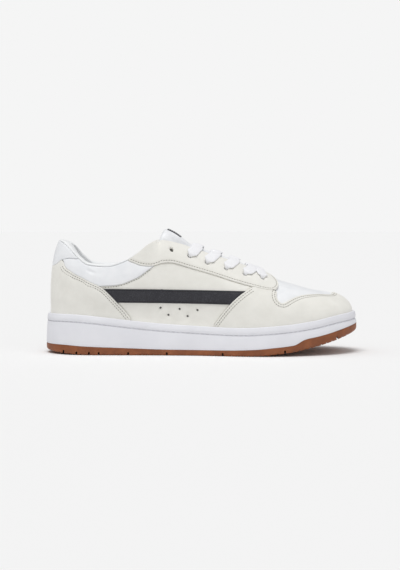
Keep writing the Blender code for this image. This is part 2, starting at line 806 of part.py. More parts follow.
def hole_loop(row, sides=8):
    """The loop of an eyelet in the pattern plane."""
    centre = side_points([row])[0]
    lap, rise = from_plane(centre[None])[0]
    step = 0.5
    here = base(lap, rise)
    probe = from_plane(centre + np.array([[step, 0], [0, step]]))
    scale = [step / np.linalg.norm(base(*probe[k]) - here) for k in (0, 1)]
    turn = np.arange(sides) * 2 * np.pi / sides
    circle = np.stack([np.cos(turn) * scale[0], np.sin(turn) * scale[1]], axis=1)
    return centre + circle * EYELET_RADIUS


def top_run(start, end, step, drop=0.0):
    """A run along the upper's top edge, from one lateral lap to another."""
    count = 60
    laps = np.linspace(start, end, count)
    rises = top_rise(laps) - drop
    fine = to_plane(np.stack([laps, rises], axis=1))
    length = np.concatenate([[0], np.cumsum(np.linalg.norm(np.diff(fine, axis=0), axis=1))])
    even = np.linspace(0, length[-1], max(2, int(round(length[-1] / step)) + 1))
    return np.stack([np.interp(even, length, fine[:, k]) for k in (0, 1)], axis=1)


OVERLAY_OUTER = LAYER_GAP + OVERLAY_THICKNESS
QUARTER_OUTER = LAYER_GAP + QUARTER_THICKNESS
CUP_TUCK = 0.045
EDGE_DROP = 0.005
COLLAR_END = 0.368
TONGUE_TOP_LAP = COLLAR_FRONT + 0.002
TONGUE_FRONT_LAP = lap_of_ridge(0.735)
THROAT_FRONT_LAP = lap_of_ridge(THROAT_END)
THROAT_LAPS = np.linspace(COLLAR_FRONT - 0.02, THROAT_FRONT_LAP, 200)
THROAT_TOPS = top_rise(THROAT_LAPS)
EYESTAY_REAR_LAP = on_side(*EYESTAY_REAR_EDGE[0])[0]
TAB_LAP = on_side(*TAB_LOWER_EDGE[0])[0]


def make_upper(finish):
    """The hollow base of the upper, open at the collar, the throat and underneath."""
    step = WALL_STEP
    rear = top_run(0.0, THROAT_FRONT_LAP, step * 0.7)
    rear[-1] = to_plane([(THROAT_FRONT_LAP, 1.0)])[0]
    ridge = smooth_run(to_plane([(THROAT_FRONT_LAP, 1.0), (1.0, 1.0)]), step * 0.8)
    ridge[0] = rear[-1]
    foot = level_run(0.0, 1.0, 0.0, step)
    toe = smooth_run(to_plane([(1.0, 0.0), (1.0, 1.0)]), step)
    heel = smooth_run(to_plane([(0.0, 0.0), (0.0, 1.0)]), step)
    loop = closed_loop([foot, toe, ridge[::-1], rear[::-1], heel[::-1]])
    points, faces = triangulate([loop, *[hole_loop(row) for row in EYELETS]], step)
    lateral = from_plane(points)
    medial = np.stack([2 - lateral[:, 0], lateral[:, 1]], axis=1)
    pairs = np.concatenate([lateral, medial])
    both = np.concatenate([faces, faces[:, ::-1] + len(points)])
    add_object("upper", *shell(pairs, both, 0.0, -WALL), finish)


def make_heel_panels(counter_finish, tab_finish):
    """The counter round the heel, and the tab above it."""
    step = PANEL_STEP
    middle = to_plane([(0.0, on_side(0.03, TAB_LOWER_EDGE[-1][1] - 0.012)[1])])
    top_of_tab = to_plane([(TAB_LAP, 1.0 - EDGE_DROP)])
    lower = smooth_run(
        np.concatenate([top_of_tab, side_points(TAB_LOWER_EDGE[1:]), middle]), step * 0.8
    )
    upper_edge = top_run(0.0, TAB_LAP, step * 0.8, EDGE_DROP)
    upper_edge[-1] = lower[0]
    tab = closed_loop([lower, round_heel(lower)[::-1], round_heel(upper_edge)[::-1], upper_edge])
    panel("heel_tab", [inset_loop(tab, SEAM_HALF)], OVERLAY_OUTER, LAYER_GAP, tab_finish)

    front = smooth_run(side_points(COUNTER_EDGE), step * 0.8)
    foot_lap = float(from_plane(front[-1:])[0][0])
    tuck = smooth_run(np.stack([front[-1], to_plane([(foot_lap, CUP_TUCK)])[0]]), step)
    foot = level_run(foot_lap, 0.0, CUP_TUCK, step)
    corner = nearest(lower, front[0])
    shoulder = np.concatenate([lower[corner:][::-1], front[:1]])
    half = [shoulder, front, tuck, foot]
    loop = closed_loop([*half, *[round_heel(run)[::-1] for run in half[::-1]]])
    panel(
        "heel_counter", [inset_loop(loop, SEAM_HALF)], OVERLAY_OUTER, LAYER_GAP, counter_finish
    )


def stay_edges():
    """The eyestay's lower edge, and its round front up to the ridge."""
    step = PANEL_STEP * 0.8
    nose = side_points(EYESTAY_NOSE)
    nose = np.concatenate([nose, to_plane([(lap_of_ridge(EYESTAY_FRONT), 1.0)])])
    return smooth_run(side_points(EYESTAY_LOWER_EDGE), step), smooth_run(nose, step)


def nearest(run, point):
    """Index of the run's point that is nearest to a pattern-plane point."""
    return int(np.argmin(np.linalg.norm(run - point, axis=1)))


def make_eyestay(finish):
    """One piece from collar to collar round the front of the throat, with its eyelets."""
    step = PANEL_STEP * 0.8
    rear = side_points(EYESTAY_REAR_EDGE)
    rear[0] = to_plane([(EYESTAY_REAR_LAP, 1.0 - EDGE_DROP)])[0]
    edge = top_run(EYESTAY_REAR_LAP, THROAT_FRONT_LAP, step, EDGE_DROP)
    edge[-1] = to_plane([(THROAT_FRONT_LAP, 1.0)])[0]
    half = [smooth_run(rear, step), *stay_edges()]
    loop = closed_loop(
        [*half, *[past_ridge(run)[::-1] for run in half[::-1]], past_ridge(edge), edge[::-1]]
    )
    holes = [hole_loop(row) for row in EYELETS]
    loops = [inset_loop(loop, SEAM_HALF), *holes, *[past_ridge(hole) for hole in holes]]
    panel("eyestay", loops, OVERLAY_OUTER, LAYER_GAP, finish, ridge=True)


def make_toe_overlay(finish):
    """The piece that wraps the toe, from seam to seam."""
    step = PANEL_STEP * 0.8
    rear = smooth_run(side_points(TOE_REAR_EDGE), step)
    foot_lap = float(from_plane(rear[-1:])[0][0])
    tuck = smooth_run(np.stack([rear[-1], to_plane([(foot_lap, CUP_TUCK)])[0]]), step)
    foot = level_run(foot_lap, 1.0, CUP_TUCK, step)
    lower, nose = stay_edges()
    along_lower = lower[nearest(lower, rear[0]) + 1 : -1]
    along_nose = nose[: nearest(nose, side_points(EYESTAY_NOSE[1:2])[0]) + 1]
    seam = np.concatenate([rear[:1], along_lower, along_nose])
    cap_edge = to_plane([from_above(*row) for row in TOE_CAP_EDGE])
    cap_edge[-1, 0] = to_plane([(1.0, 0.5)])[0, 0]
    upper_points = np.concatenate([side_points(TOE_UPPER_EDGE), cap_edge])
    upper_edge = smooth_run(upper_points, step)
    join = smooth_run(np.stack([seam[-1], upper_edge[0]]), step)
    half = [tuck[::-1], rear[::-1], seam, join, upper_edge]
    loop = closed_loop(
        [foot[::-1], *half, *[mirrored(run)[::-1] for run in half[::-1]], mirrored(foot[::-1])[::-1]]
    )
    loop = inset_loop(loop, SEAM_HALF)
    panel("toe_overlay", [loop], OVERLAY_OUTER, LAYER_GAP, finish, step=TOE_STEP)


def seam_between(seam, low_line, width):
    """The part of a seam that a straight band of this width meets, as seen from the side."""
    fine = smooth_run(seam, 0.5)
    points = base(*from_plane(fine).T)
    (x0, z0), (x1, z1) = [(along_to_x(along), up * COLLAR_HEIGHT) for along, up in low_line]
    above = points[:, 2] - z0 - (points[:, 0] - x0) * (z1 - z0) / (x1 - x0)
    return smooth_run(fine[(above > 0) & (above < width)], PANEL_STEP)


def straight_between(start, end):
    """A run that looks straight from the side, between two pattern-plane points."""
    ends = [base(*from_plane(point[None]).T)[0][[0, 2]] for point in (start, end)]
    shares = np.linspace(0, 1, 9)[1:-1, None]
    rows = ends[0] + shares * (ends[1] - ends[0])
    middle = side_points(rows / [SOLE_LENGTH, COLLAR_HEIGHT] + [0.5, 0])
    return smooth_run(np.concatenate([start[None], middle, end[None]]), PANEL_STEP)


def make_quarters(finish, collar_finish, band_finish):
    """The side panels between counter and toe overlay, each with a plain straight band."""
    step = PANEL_STEP * 0.8
    counter = smooth_run(side_points(COUNTER_EDGE), step)
    start = nearest(counter, side_points(COLLAR_PANEL_EDGE[:1])[0])
    rear = counter[start:]
    toe = smooth_run(side_points(TOE_REAR_EDGE), step)
    laps = [float(from_plane(run[-1:])[0][0]) for run in (rear, toe)]
    down = smooth_run(np.stack([rear[-1], to_plane([(laps[0], CUP_TUCK)])[0]]), step)
    foot = level_run(laps[0], laps[1], CUP_TUCK, step)
    up = smooth_run(np.stack([to_plane([(laps[1], CUP_TUCK)])[0], toe[-1]]), step)
    stay = stay_edges()[0]
    stay = np.concatenate([stay[: nearest(stay, toe[0])], toe[:1]])
    panel_edge = smooth_run(
        np.concatenate([rear[:1], side_points(COLLAR_PANEL_EDGE[1:-1]), stay[:1]]), step
    )
    quarter = closed_loop([rear, down, foot, up, toe[::-1], stay[::-1], panel_edge[::-1]])

    tab = smooth_run(side_points(TAB_LOWER_EDGE), step)
    tab[0] = to_plane([(TAB_LAP, 1.0 - EDGE_DROP)])[0]
    corner = nearest(tab, counter[0])
    stay_rear = side_points(EYESTAY_REAR_EDGE)
    stay_rear[0] = to_plane([(EYESTAY_REAR_LAP, 1.0 - EDGE_DROP)])[0]
    stay_rear[-1] = stay[0]
    top_line = top_run(TAB_LAP, EYESTAY_REAR_LAP, step, EDGE_DROP)
    collar = closed_loop(
        [
            np.concatenate([tab[:corner], counter[:1]]),
            counter[: start + 1],
            panel_edge,
            smooth_run(stay_rear, step)[::-1],
            top_line[::-1],
        ]
    )

    ends = [seam_between(side_points(edge), BAND_LOWER_EDGE, BAND_WIDTH)
            for edge in (COUNTER_EDGE, TOE_REAR_EDGE)]
    low, high = [straight_between(ends[0][i], ends[1][i]) for i in (-1, 0)]
    band = closed_loop([ends[0], low, ends[1][::-1], high[::-1]])
    quarter, collar, band = [inset_loop(loop, SEAM_HALF) for loop in (quarter, collar, band)]
    under_band = QUARTER_OUTER + LAYER_GAP
    for name, place in (("lateral", lambda run: run), ("medial", mirrored)):
        panel(f"quarter_{name}", [place(quarter)], QUARTER_OUTER, LAYER_GAP, finish)
        panel(f"collar_panel_{name}", [place(collar)], OVERLAY_OUTER, LAYER_GAP, collar_finish)
        panel(
            f"side_band_{name}", [place(band)], under_band + BAND_THICKNESS, under_band, band_finish
        )


def make_collar(finish):
    """The padded roll: over the top line, and down the inside of the wall."""
    laps = np.linspace(-COLLAR_END, COLLAR_END, COLLAR_STATIONS)
    away = np.abs(laps)
    heights = np.linspace(CUP_RISE, 1, 40)
    profile = base(laps[:, None], heights[None, :])
    length = np.linalg.norm(np.diff(profile, axis=1), axis=-1).sum(axis=1)
    top = base(laps, 1.0)
    up = top - base(laps, 0.97)
    up /= np.linalg.norm(up, axis=1, keepdims=True)
    out = normal(laps, 1.0)
    taper = 1 - 0.65 * smooth_step(0.29, 0.37, away)
    roll = COLLAR_ROLL * (0.3 + 0.7 * smooth_step(0.08, 0.20, away)) * taper
    pad = COLLAR_PAD * taper
    inner = WALL + LINING_GAP
    seat = 2 * SEAT_GAP + 0.8 * smooth_step(0.27, 0.33, away)
    hang = COLLAR_OVERHANG * (1 - smooth_step(0.27, 0.33, away))
    rings = [top + out * hang[:, None] + up * seat[:, None]]
    for outside, inside_wall, height in (
        (1.1, 0.0, 0.45), (0.45, 0.0, 0.85), (0.0, 0.15, 1.0), (0.0, 0.6, 0.85), (0.0, 0.93, 0.40)
    ):
        across = outside * hang - (inner + pad) * inside_wall
        rings.append(top + out * across[:, None] + up * (seat + roll * height)[:, None])
    deep = COLLAR_DEPTH / length * (1 - CUP_RISE)
    for fullness_share, drop in ((1.0, 0.12), (1.05, 0.35), (0.8, 0.65), (0.35, 0.91)):
        rise = 1 - drop * deep
        rings.append(surface(laps, rise, -inner - pad * fullness_share))
    for drop in (1.0, 0.65, 0.30):
        rings.append(surface(laps, 1 - drop * deep, np.full(len(laps), -inner)))
    rings.append(top - out * inner + up * seat[:, None])
    add_object("collar", *tube(np.stack(rings, axis=1)), finish)


def tube(sections):
    """(points, faces) of a closed solid through sections of equal point counts."""
    stations, count = sections.shape[:2]
    points = sections.reshape(-1, 3)
    last = (stations - 1) * count
    faces = [tuple(range(count))[::-1], tuple(range(last, last + count))]
    for i in range(stations - 1):
        for j in range(count):
            k = (j + 1) % count
            faces.append((i * count + j, i * count + k, (i + 1) * count + k, (i + 1) * count + j))
    return points, outward_faces(points, faces)


def outward_faces(points, faces):
    """The faces, all turned over if the solid they bound is inside out."""
    volume = 0.0
    for face in faces:
        corners = [points[i] for i in face]
        for a, b in zip(corners[1:-1], corners[2:]):
            volume += float(np.dot(corners[0], np.cross(a, b)))
    return faces if volume > 0 else [tuple(face)[::-1] for face in faces]


def throat_share(lap, rise):
    """0 on the ridge, 1 at the throat's edge, and more outside it."""
    one_side, _ = fold(lap)
    room = 1 - np.interp(one_side, THROAT_LAPS, THROAT_TOPS)
    return (1 - np.asarray(rise)) / np.maximum(room, 1e-3)


def tongue_level(lap, rise):
    """Offset of the tongue's face: under the eyestay, and lifted inside the throat."""
    points = base(lap, rise)
    share = throat_share(lap, rise)
    one_side, _ = fold(lap)
    wide = 1 - smooth_step(COLLAR_FRONT, 0.50, one_side)
    free = smooth_step(0.25 - 0.07 * wide, 0.75 - 0.28 * wide, 1 - share)
    free = free * (1 - smooth_step(0.63, 0.67, points[..., 0] / SOLE_LENGTH + 0.5))
    lift = TONGUE_LIFT * (1 - smooth_step(COLLAR_FRONT - 0.02, 0.50, one_side)) - TONGUE_SINK
    under = -(WALL + LINING_GAP)
    return under + free * (lift - under)


def rise_at_half(lap, half):
    """The rise at which the surface is this far from the shoe's middle."""
    points = base(lap, RISES)
    away = np.abs(points[:, 1] - centre_line(points[:, 0] / SOLE_LENGTH + 0.5))
    inside_it = np.flatnonzero(away < half)
    return float(RISES[inside_it[0]]) if len(inside_it) else 1.0


def make_tongue(finish):
    """The padded tongue, from under the vamp to above the top eyelets."""
    laps = np.linspace(TONGUE_TOP_LAP, TONGUE_FRONT_LAP, 13)
    shares = np.linspace(-1, 1, 13)
    sections = []
    for lap in laps:
        rear = 1 - smooth_step(0.46, 0.60, lap)
        edge = rise_at_half(lap, TONGUE_FRONT_HALF + (TONGUE_HALF - TONGUE_FRONT_HALF) * rear)
        rises = 1 - np.abs(shares) ** 0.9 * (1 - edge)
        sides = np.where(shares < 0, lap, 2 - lap)
        face = tongue_level(sides, rises)
        full = TONGUE_THICKNESS + TONGUE_PAD * rear
        depth = full * (1 - 0.55 * np.abs(shares) ** 2)
        outer = surface(sides, rises, face)
        inner = surface(sides, rises, face - depth)
        sections.append(np.concatenate([outer, inner[::-1]]))
    add_object("tongue", *tube(np.array(sections)), finish)


def ring(laps, inset, height):
    """One ring of sole points at a constant inset."""
    plan = outline(laps, inset)
    return np.concatenate([plan, height(plan[:, 0])[:, None]], axis=1)


def sole_solid(name, rings, finish):
    """A solid through rings of the sole, closed across the first and the last."""
    count = RING_POINTS
    points = np.concatenate(rings)
    faces = []
    for i in range(len(rings) - 1):
        for j in range(count):
            k = (j + 1) % count
            faces.append((i * count + j, i * count + k, (i + 1) * count + k, (i + 1) * count + j))
    last = (len(rings) - 1) * count
    for j in range(count // 2):
        near, far = (j, j + 1), ((count - j - 1) % count, (count - j) % count)
        for start, turn in ((0, 1), (last, -1)):
            face = [start + i for i in dict.fromkeys((*near[::-1], *far[::-1]))]
            faces.append(tuple(face)[:: turn])
    return add_object(name, points, outward_faces(points, faces), finish)


def make_sole(cup_finish, gum_finish, insole_finish):
    """The cup, the tread with its channels, and the insole."""
    laps = np.arange(RING_POINTS) * 2 / RING_POINTS
    groove = RIM_HEIGHT + GROOVE_HEIGHT / 2
    lip = RIM_SETBACK + RIM_LIP
    floor = lambda x: rim_height(x) - CUP_DEPTH
    cup = [
        ring(laps, 0.0, lambda x: sole_level("gum", x)),
        ring(laps, SOLE_DRAFT, lambda x: rim_height(x) - groove),
        ring(laps, SOLE_DRAFT + GROOVE_DEPTH, lambda x: rim_height(x) - groove),
        ring(laps, SOLE_DRAFT + GROOVE_DEPTH, lambda x: rim_height(x) - groove + GROOVE_HEIGHT),
        ring(laps, SOLE_DRAFT, lambda x: rim_height(x) - groove + GROOVE_HEIGHT),
        ring(laps, RIM_SETBACK, lambda x: rim_height(x) - 0.7),
        ring(laps, RIM_SETBACK + 0.6, rim_height),
        ring(laps, lip, rim_height),
        ring(laps, lip, floor),
    ]
    sole_solid("midsole", cup, cup_finish)
    tread = [
        ring(laps, GUM_CORNER * 0.8, lambda x: sole_level("bottom", x)),
        ring(laps, GUM_CORNER * 0.2, lambda x: sole_level("bottom", x) + GUM_CORNER * 0.35),
        ring(laps, 0.0, lambda x: sole_level("bottom", x) + GUM_CORNER),
        ring(laps, 0.0, lambda x: sole_level("gum", x) - SEAT_GAP),
    ]
    outsole = sole_solid("outsole", tread, gum_finish)
    cut = outsole.modifiers.new("channels", "BOOLEAN")
    cut.operation = "DIFFERENCE"
    cut.solver = "EXACT"
    cut.object = channel_cutter()
    edge = UPPER_INSET + WALL + LINING_GAP
    under = lambda x: floor(x) + SEAT_GAP
    rest = lambda x: smooth_step(0.75, 0.35, x / SOLE_LENGTH + 0.5) * INSOLE_DISH
    insole = [
        ring(laps, edge, under),
        ring(laps, edge, lambda x: under(x) + INSOLE_THICKNESS + rest(x)),
        ring(laps, edge + INSOLE_BEVEL, lambda x: under(x) + INSOLE_THICKNESS),
    ]
    sole_solid("insole", insole, insole_finish)


def channel_cutter():
    """The blocks that cut the tread's channels, joined in one hidden object."""
    points, faces = [], []
    for along in CHANNELS:
        x = float(along_to_x(along))
        rise = (sole_level("bottom", x + 1) - sole_level("bottom", x - 1)) / 2
        axis = np.array([1.0, 0.0, rise]) / math.hypot(1.0, rise)
        up = np.array([-axis[2], 0.0, axis[0]])
        middle = np.array([x, 0.0, float(sole_level("bottom", x))])
        start = len(points)
        for a in (-1, 1):
            for b in (-1, 1):
                for c in (-1, 1):
                    corner = middle + axis * a * CHANNEL_WIDTH / 2 + up * c * CHANNEL_DEPTH
                    points.append(corner + [0, b * BALL_WIDTH * 0.7, 0])
        for face in ((0, 1, 3, 2), (4, 6, 7, 5), (0, 4, 5, 1), (2, 3, 7, 6), (0, 2, 6, 4), (1, 5, 7, 3)):
            faces.append(tuple(start + i for i in face))
    cutter = add_object("channel_cutter", points, outward_faces(np.array(points), faces), None)
    cutter.hide_render = True
    cutter.display_type = "WIRE"
    return cutter


def strand(pairs, offsets):
    """(points, faces) of flat lace along (lap, w) pairs, where w above 1 is past the ridge."""
    sides = over_ridge(pairs)
    middle = surface(sides[:, 0], sides[:, 1], offsets)
    up = normal(sides[:, 0], sides[:, 1])
    run = np.gradient(middle, axis=0)
    run /= np.linalg.norm(run, axis=1, keepdims=True)
    wide = np.cross(up, run)
    wide /= np.linalg.norm(wide, axis=1, keepdims=True)
    up = np.cross(run, wide)
    half, thick = LACE_WIDTH / 2, LACE_THICKNESS / 2
    outline_points = ((half, 0), (0.8 * half, thick), (-0.8 * half, thick), (-half, 0),
                      (-0.8 * half, -thick), (0.8 * half, -thick))
    sections = np.stack([middle + wide * a + up * b for a, b in outline_points], axis=1)
    return tube(sections)


def lace_path(start, end, count=10):
    """Even (lap, w) steps from one eyelet to another on the far side."""
    first, last = on_side(*start), on_side(*end)
    share = np.linspace(0, 1, count)[:, None]
    return np.array(first) + share * (np.array([last[0], 2 - last[1]]) - np.array(first))


def across_throat(pairs):
    """-1 at the near edge of the throat, 0 on the ridge and 1 at the far edge."""
    return np.sign(pairs[:, 1] - 1) * throat_share(*over_ridge(pairs).T)


def make_laces(finish):
    """A bar over the front eyelets, and a joined crossing between each two pairs behind it."""
    clear = OVERLAY_OUTER + 1.6 * LAYER_GAP + LACE_THICKNESS / 2
    bar = lace_path(EYELETS[-1], EYELETS[-1])
    add_object("lace_bar", *strand(bar, np.full(len(bar), clear)), finish)
    for k in range(1, 5):
        pieces = []
        for order, flip in enumerate((False, True)):
            pairs = lace_path(EYELETS[k], EYELETS[k + 1], count=12)
            share = across_throat(pairs)
            pairs, share = pairs[share < 0.58], share[share < 0.58]
            sides = over_ridge(pairs)
            on_tongue = tongue_level(*sides.T) + 2.4 * LAYER_GAP + LACE_THICKNESS / 2
            near = clear * (1 - smooth_step(-0.8, 0.05, share)) - 4 * smooth_step(-0.4, 0.6, share)
            offsets = np.maximum(on_tongue, near)
            offsets += order * 0.8 * LACE_THICKNESS * (1 - smooth_step(0.3, 0.8, np.abs(share)))
            if flip:
                pairs = np.stack([pairs[:, 0], 2 - pairs[:, 1]], axis=1)
            pieces.append(strand(pairs, offsets))
        made = add_object(f"lace_cross_{k}", *pieces[0], finish)
        other = add_object(f"lace_cross_{k}_other", *pieces[1], finish)
        other.hide_render = True
        other.display_type = "WIRE"
        join = made.modifiers.new("join", "BOOLEAN")
        join.operation = "UNION"
        join.solver = "EXACT"
        join.object = other


def main():
    """Builds the shoe."""
    clear_scene()
    suede = material("suede", (0.77, 0.76, 0.71), 0.9)
    leather = material("white_leather", (0.88, 0.89, 0.90), 0.45)
    black = material("black_leather", (0.02, 0.02, 0.024), 0.5)
    rubber = material("white_rubber", (0.83, 0.83, 0.86), 0.5)
    gum = material("gum_rubber", (0.36, 0.19, 0.10), 0.55)
    fabric = material("lining", (0.80, 0.82, 0.83), 0.9)
    lace = material("lace", (0.90, 0.90, 0.90), 0.9)
    make_sole(rubber, gum, fabric)
    make_upper(leather)
    make_heel_panels(suede, leather)
    make_eyestay(suede)
    make_toe_overlay(suede)
    make_quarters(suede, leather, black)
    make_collar(fabric)
    make_tongue(leather)
    make_laces(lace)


main()
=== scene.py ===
import logging
import math
from dataclasses import dataclass, field
from enum import Enum
from typing import Callable, Sequence, Union

import bpy
import numpy as np
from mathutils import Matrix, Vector
from mathutils.geometry import delaunay_2d_cdt


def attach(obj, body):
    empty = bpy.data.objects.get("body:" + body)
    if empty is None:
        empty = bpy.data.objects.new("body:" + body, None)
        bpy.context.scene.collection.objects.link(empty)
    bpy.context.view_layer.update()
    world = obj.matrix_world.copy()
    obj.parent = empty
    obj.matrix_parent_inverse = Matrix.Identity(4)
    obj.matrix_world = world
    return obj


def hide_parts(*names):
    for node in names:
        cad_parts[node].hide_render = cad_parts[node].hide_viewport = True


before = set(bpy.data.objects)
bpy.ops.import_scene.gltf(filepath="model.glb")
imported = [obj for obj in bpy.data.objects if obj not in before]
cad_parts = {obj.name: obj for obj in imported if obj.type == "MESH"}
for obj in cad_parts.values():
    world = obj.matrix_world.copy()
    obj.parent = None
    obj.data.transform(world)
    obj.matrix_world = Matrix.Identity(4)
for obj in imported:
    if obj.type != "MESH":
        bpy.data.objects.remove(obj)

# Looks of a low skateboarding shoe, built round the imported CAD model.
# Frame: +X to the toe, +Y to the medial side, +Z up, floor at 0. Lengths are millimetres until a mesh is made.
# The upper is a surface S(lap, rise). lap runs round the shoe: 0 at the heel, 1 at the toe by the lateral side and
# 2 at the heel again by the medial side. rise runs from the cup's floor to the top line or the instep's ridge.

log = logging.getLogger("shoe")
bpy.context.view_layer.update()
MM = 0.001
BATCH = 800
ROW_SPACING = 0.866
BODY = "root"
Array = np.ndarray
Curve = Callable[[Array], Array]

# Sole outline: along is a share of the length, lateral and medial are shares of the local width
OUTLINE = {
    "along": (0.06, 0.12, 0.20, 0.30, 0.40, 0.50, 0.60, 0.68, 0.74, 0.80, 0.88, 0.94),
    "lateral": (0.400, 0.480, 0.500, 0.497, 0.455, 0.430, 0.471, 0.500, 0.500, 0.471, 0.389, 0.279),
    "medial": (0.400, 0.480, 0.487, 0.432, 0.345, 0.306, 0.365, 0.433, 0.476, 0.490, 0.457, 0.380),
}

# Side of the sole: bottom is a share of the toe spring, gum of the gum height, rim of the heel stack
SOLE_SIDE = {
    "along": (0.0, 0.06, 0.12, 0.17, 0.28, 0.39, 0.50, 0.58, 0.66, 0.73, 0.785, 0.82, 0.865, 0.90, 0.94, 1.0),
    "bottom": (0.16, 0.07, 0.01, 0, 0, 0, 0, 0, 0, 0.10, 0.20, 0.31, 0.46, 0.60, 0.78, 1.08),
    "gum": (1.0, 0.99, 0.88, 0.81, 0.69, 0.58, 0.56, 0.58, 0.67, 0.88, 1.10, 1.64, 1.92, 2.18, 2.52, 3.0),
    "rim": (1.0, 1.008, 0.992, 0.955, 0.855, 0.775, 0.725, 0.700, 0.707, 0.745, 0.788, 0.825, 0.880, 0.940, 0.995,
            1.05),
}
CHANNELS = (0.064, 0.106, 0.146, 0.177, 0.269, 0.390, 0.564, 0.757, 0.926)

# Top line of the collar: half is a share of the heel width, up of the collar height
COLLAR = {
    "lap": (0, 0.05, 0.10, 0.15, 0.20, 0.25, 0.30, 0.335, 0.365, 0.390, 0.400, 0.4073, 0.4140, 0.4200),
    "along": (0.0507, 0.054, 0.068, 0.088, 0.113, 0.145, 0.203, 0.2535, 0.295, 0.330, 0.345, 0.356, 0.3658, 0.3745),
    "half": (0, 0.12, 0.22, 0.30, 0.353, 0.391, 0.416, 0.421, 0.410, 0.380, 0.330, 0.240, 0.117, 0),
    "up": (0.990, 0.985, 0.963, 0.910, 0.838, 0.781, 0.767, 0.804, 0.878, 0.955, 0.982, 0.999, 1.014, 1.023),
}

# Where each lap meets the ridge of the instep and vamp
RIDGE_LAP = {
    "lap": (0.42, 0.47, 0.50, 0.55, 0.60, 0.65, 0.70, 0.80, 0.90, 1.0),
    "along": (0.3745, 0.446, 0.489, 0.567, 0.638, 0.694, 0.733, 0.785, 0.838, 0.893),
}

# Height of the ridge, as a share of the instep height
RIDGE = {
    "along": (0.3745, 0.420, 0.475, 0.567, 0.640, 0.690, 0.720, 0.746, 0.778, 0.812, 0.857, 0.893),
    "up": (1.0, 0.961, 0.909, 0.823, 0.748, 0.688, 0.649, 0.616, 0.587, 0.559, 0.528, 0.513),
}

# Girth of the upper: bulges are shares of the heel width, and the two reaches shape the curve's ends
GIRTH = {
    "lap": (0, 0.10, 0.20, 0.30, 0.365, 0.390, 0.400, 0.407, 0.414, 0.420, 0.45, 0.50, 0.60, 0.70, 0.80, 0.90, 1.0),
    "bulge_lateral": (0.004, 0.010, 0.025, 0.035, 0.030, 0.028, 0.027, 0.026, 0.025, 0.024, 0.020, 0.015, 0.012,
                      0.008, 0.004, 0, 0),
    "bulge_medial": (0.004, 0.010, 0.025, 0.040, 0.045, 0.045, 0.045, 0.045, 0.045, 0.044, 0.042, 0.036, 0.020,
                     0.010, 0.004, 0, 0),
    "rise_reach": (0.42, 0.42, 0.40, 0.40, 0.45, 0.55, 0.68, 0.78, 0.84, 0.88, 0.84, 0.76, 0.66, 0.58, 0.55, 0.53,
                   0.53),
    "arrival": (68, 72, 82, 88, 80, 68, 52, 34, 16, 0, 0, 0, 0, 0, 0, 0, 0),
    "top_reach": (0.95, 0.90, 0.60, 0.40, 0.60, 0.80, 0.88, 0.90, 0.90, 0.89, 0.86, 0.76, 0.62, 0.55, 0.52, 0.50,
                  0.50),
}

# Flare of the throat towards its top: extra half width as a share of the throat's own
THROAT_FLARE = {
    "along": (0.30, 0.36, 0.38, 0.40, 0.44, 0.50, 0.58, 0.80),
    "flare": (0.60, 0.42, 0.32, 0.22, 0.08, 0.02, 0.0, 0.0),
}

# Panel edges as seen from the side: along is a share of the length, up a share of the collar height
EYELETS = ((0.403, 0.905), (0.459, 0.848), (0.514, 0.790), (0.574, 0.738), (0.632, 0.688), (0.688, 0.650))
TAB_LOWER_EDGE = ((0.114, 0.834), (0.088, 0.838), (0.062, 0.822), (0.042, 0.780))
COUNTER_EDGE = ((0.068, 0.800), (0.073, 0.763), (0.101, 0.702), (0.137, 0.651), (0.173, 0.606), (0.209, 0.536),
                (0.237, 0.456), (0.259, 0.387), (0.277, 0.320))
COLLAR_PANEL_EDGE = ((0.177, 0.600), (0.223, 0.605), (0.259, 0.626), (0.299, 0.674), (0.325, 0.725),
                     (0.350, 0.775))
STAY_REAR_EDGE = ((0.268, 0.822), (0.297, 0.789), (0.325, 0.772), (0.350, 0.775))
STAY_LOWER_EDGE = ((0.350, 0.775), (0.373, 0.793), (0.400, 0.799), (0.442, 0.770), (0.496, 0.725), (0.553, 0.676),
                   (0.589, 0.642), (0.639, 0.600), (0.690, 0.563))
STAY_NOSE = ((0.690, 0.563), (0.718, 0.552), (0.735, 0.572), (0.737, 0.612))
TOE_REAR_EDGE = ((0.655, 0.583), (0.628, 0.539), (0.595, 0.464), (0.561, 0.352), (0.540, 0.270))
TOE_UPPER_EDGE = ((0.733, 0.535), (0.735, 0.472), (0.745, 0.449), (0.757, 0.455), (0.777, 0.478), (0.803, 0.498))
TOE_CAP_EDGE = ((0.838, 0.280), (0.878, 0.205), (0.910, 0.105), (0.922, 0.000))
BAND_LOWER_EDGE = ((0.180, 0.463), (0.600, 0.440))
PINHOLES = ((0.370, 0.412), (0.430, 0.402), (0.486, 0.393), (0.395, 0.350), (0.455, 0.340))

# Creases, listed in the shoe's own millimetres as seen from the side: start x and z, end x and z, depth, width.
# Beside each trough stands a soft ridge, a share of its depth high and some widths away.
RIDGE_SHARE = 0.35
RIDGE_AWAY = 1.9
CREASES = (
    (-107.5, 79.6, -100.5, 76.0, 0.70, 1.35),
    (-100.0, 73.5, -93.0, 71.6, -0.25, 2.4),
    (74.0, 69.0, 78.5, 52.0, 0.45, 3.4),
    (82.0, 66.0, 85.5, 55.0, 0.35, 3.0),
    (55.0, 54.0, 66.0, 38.0, 0.30, 4.5),
    (40.0, 52.0, 44.0, 36.0, 0.25, 4.0),
    (-62.0, 47.0, -48.0, 36.0, 0.30, 5.0),
    (-135.0, 66.0, -112.0, 58.0, 0.28, 6.0),
)


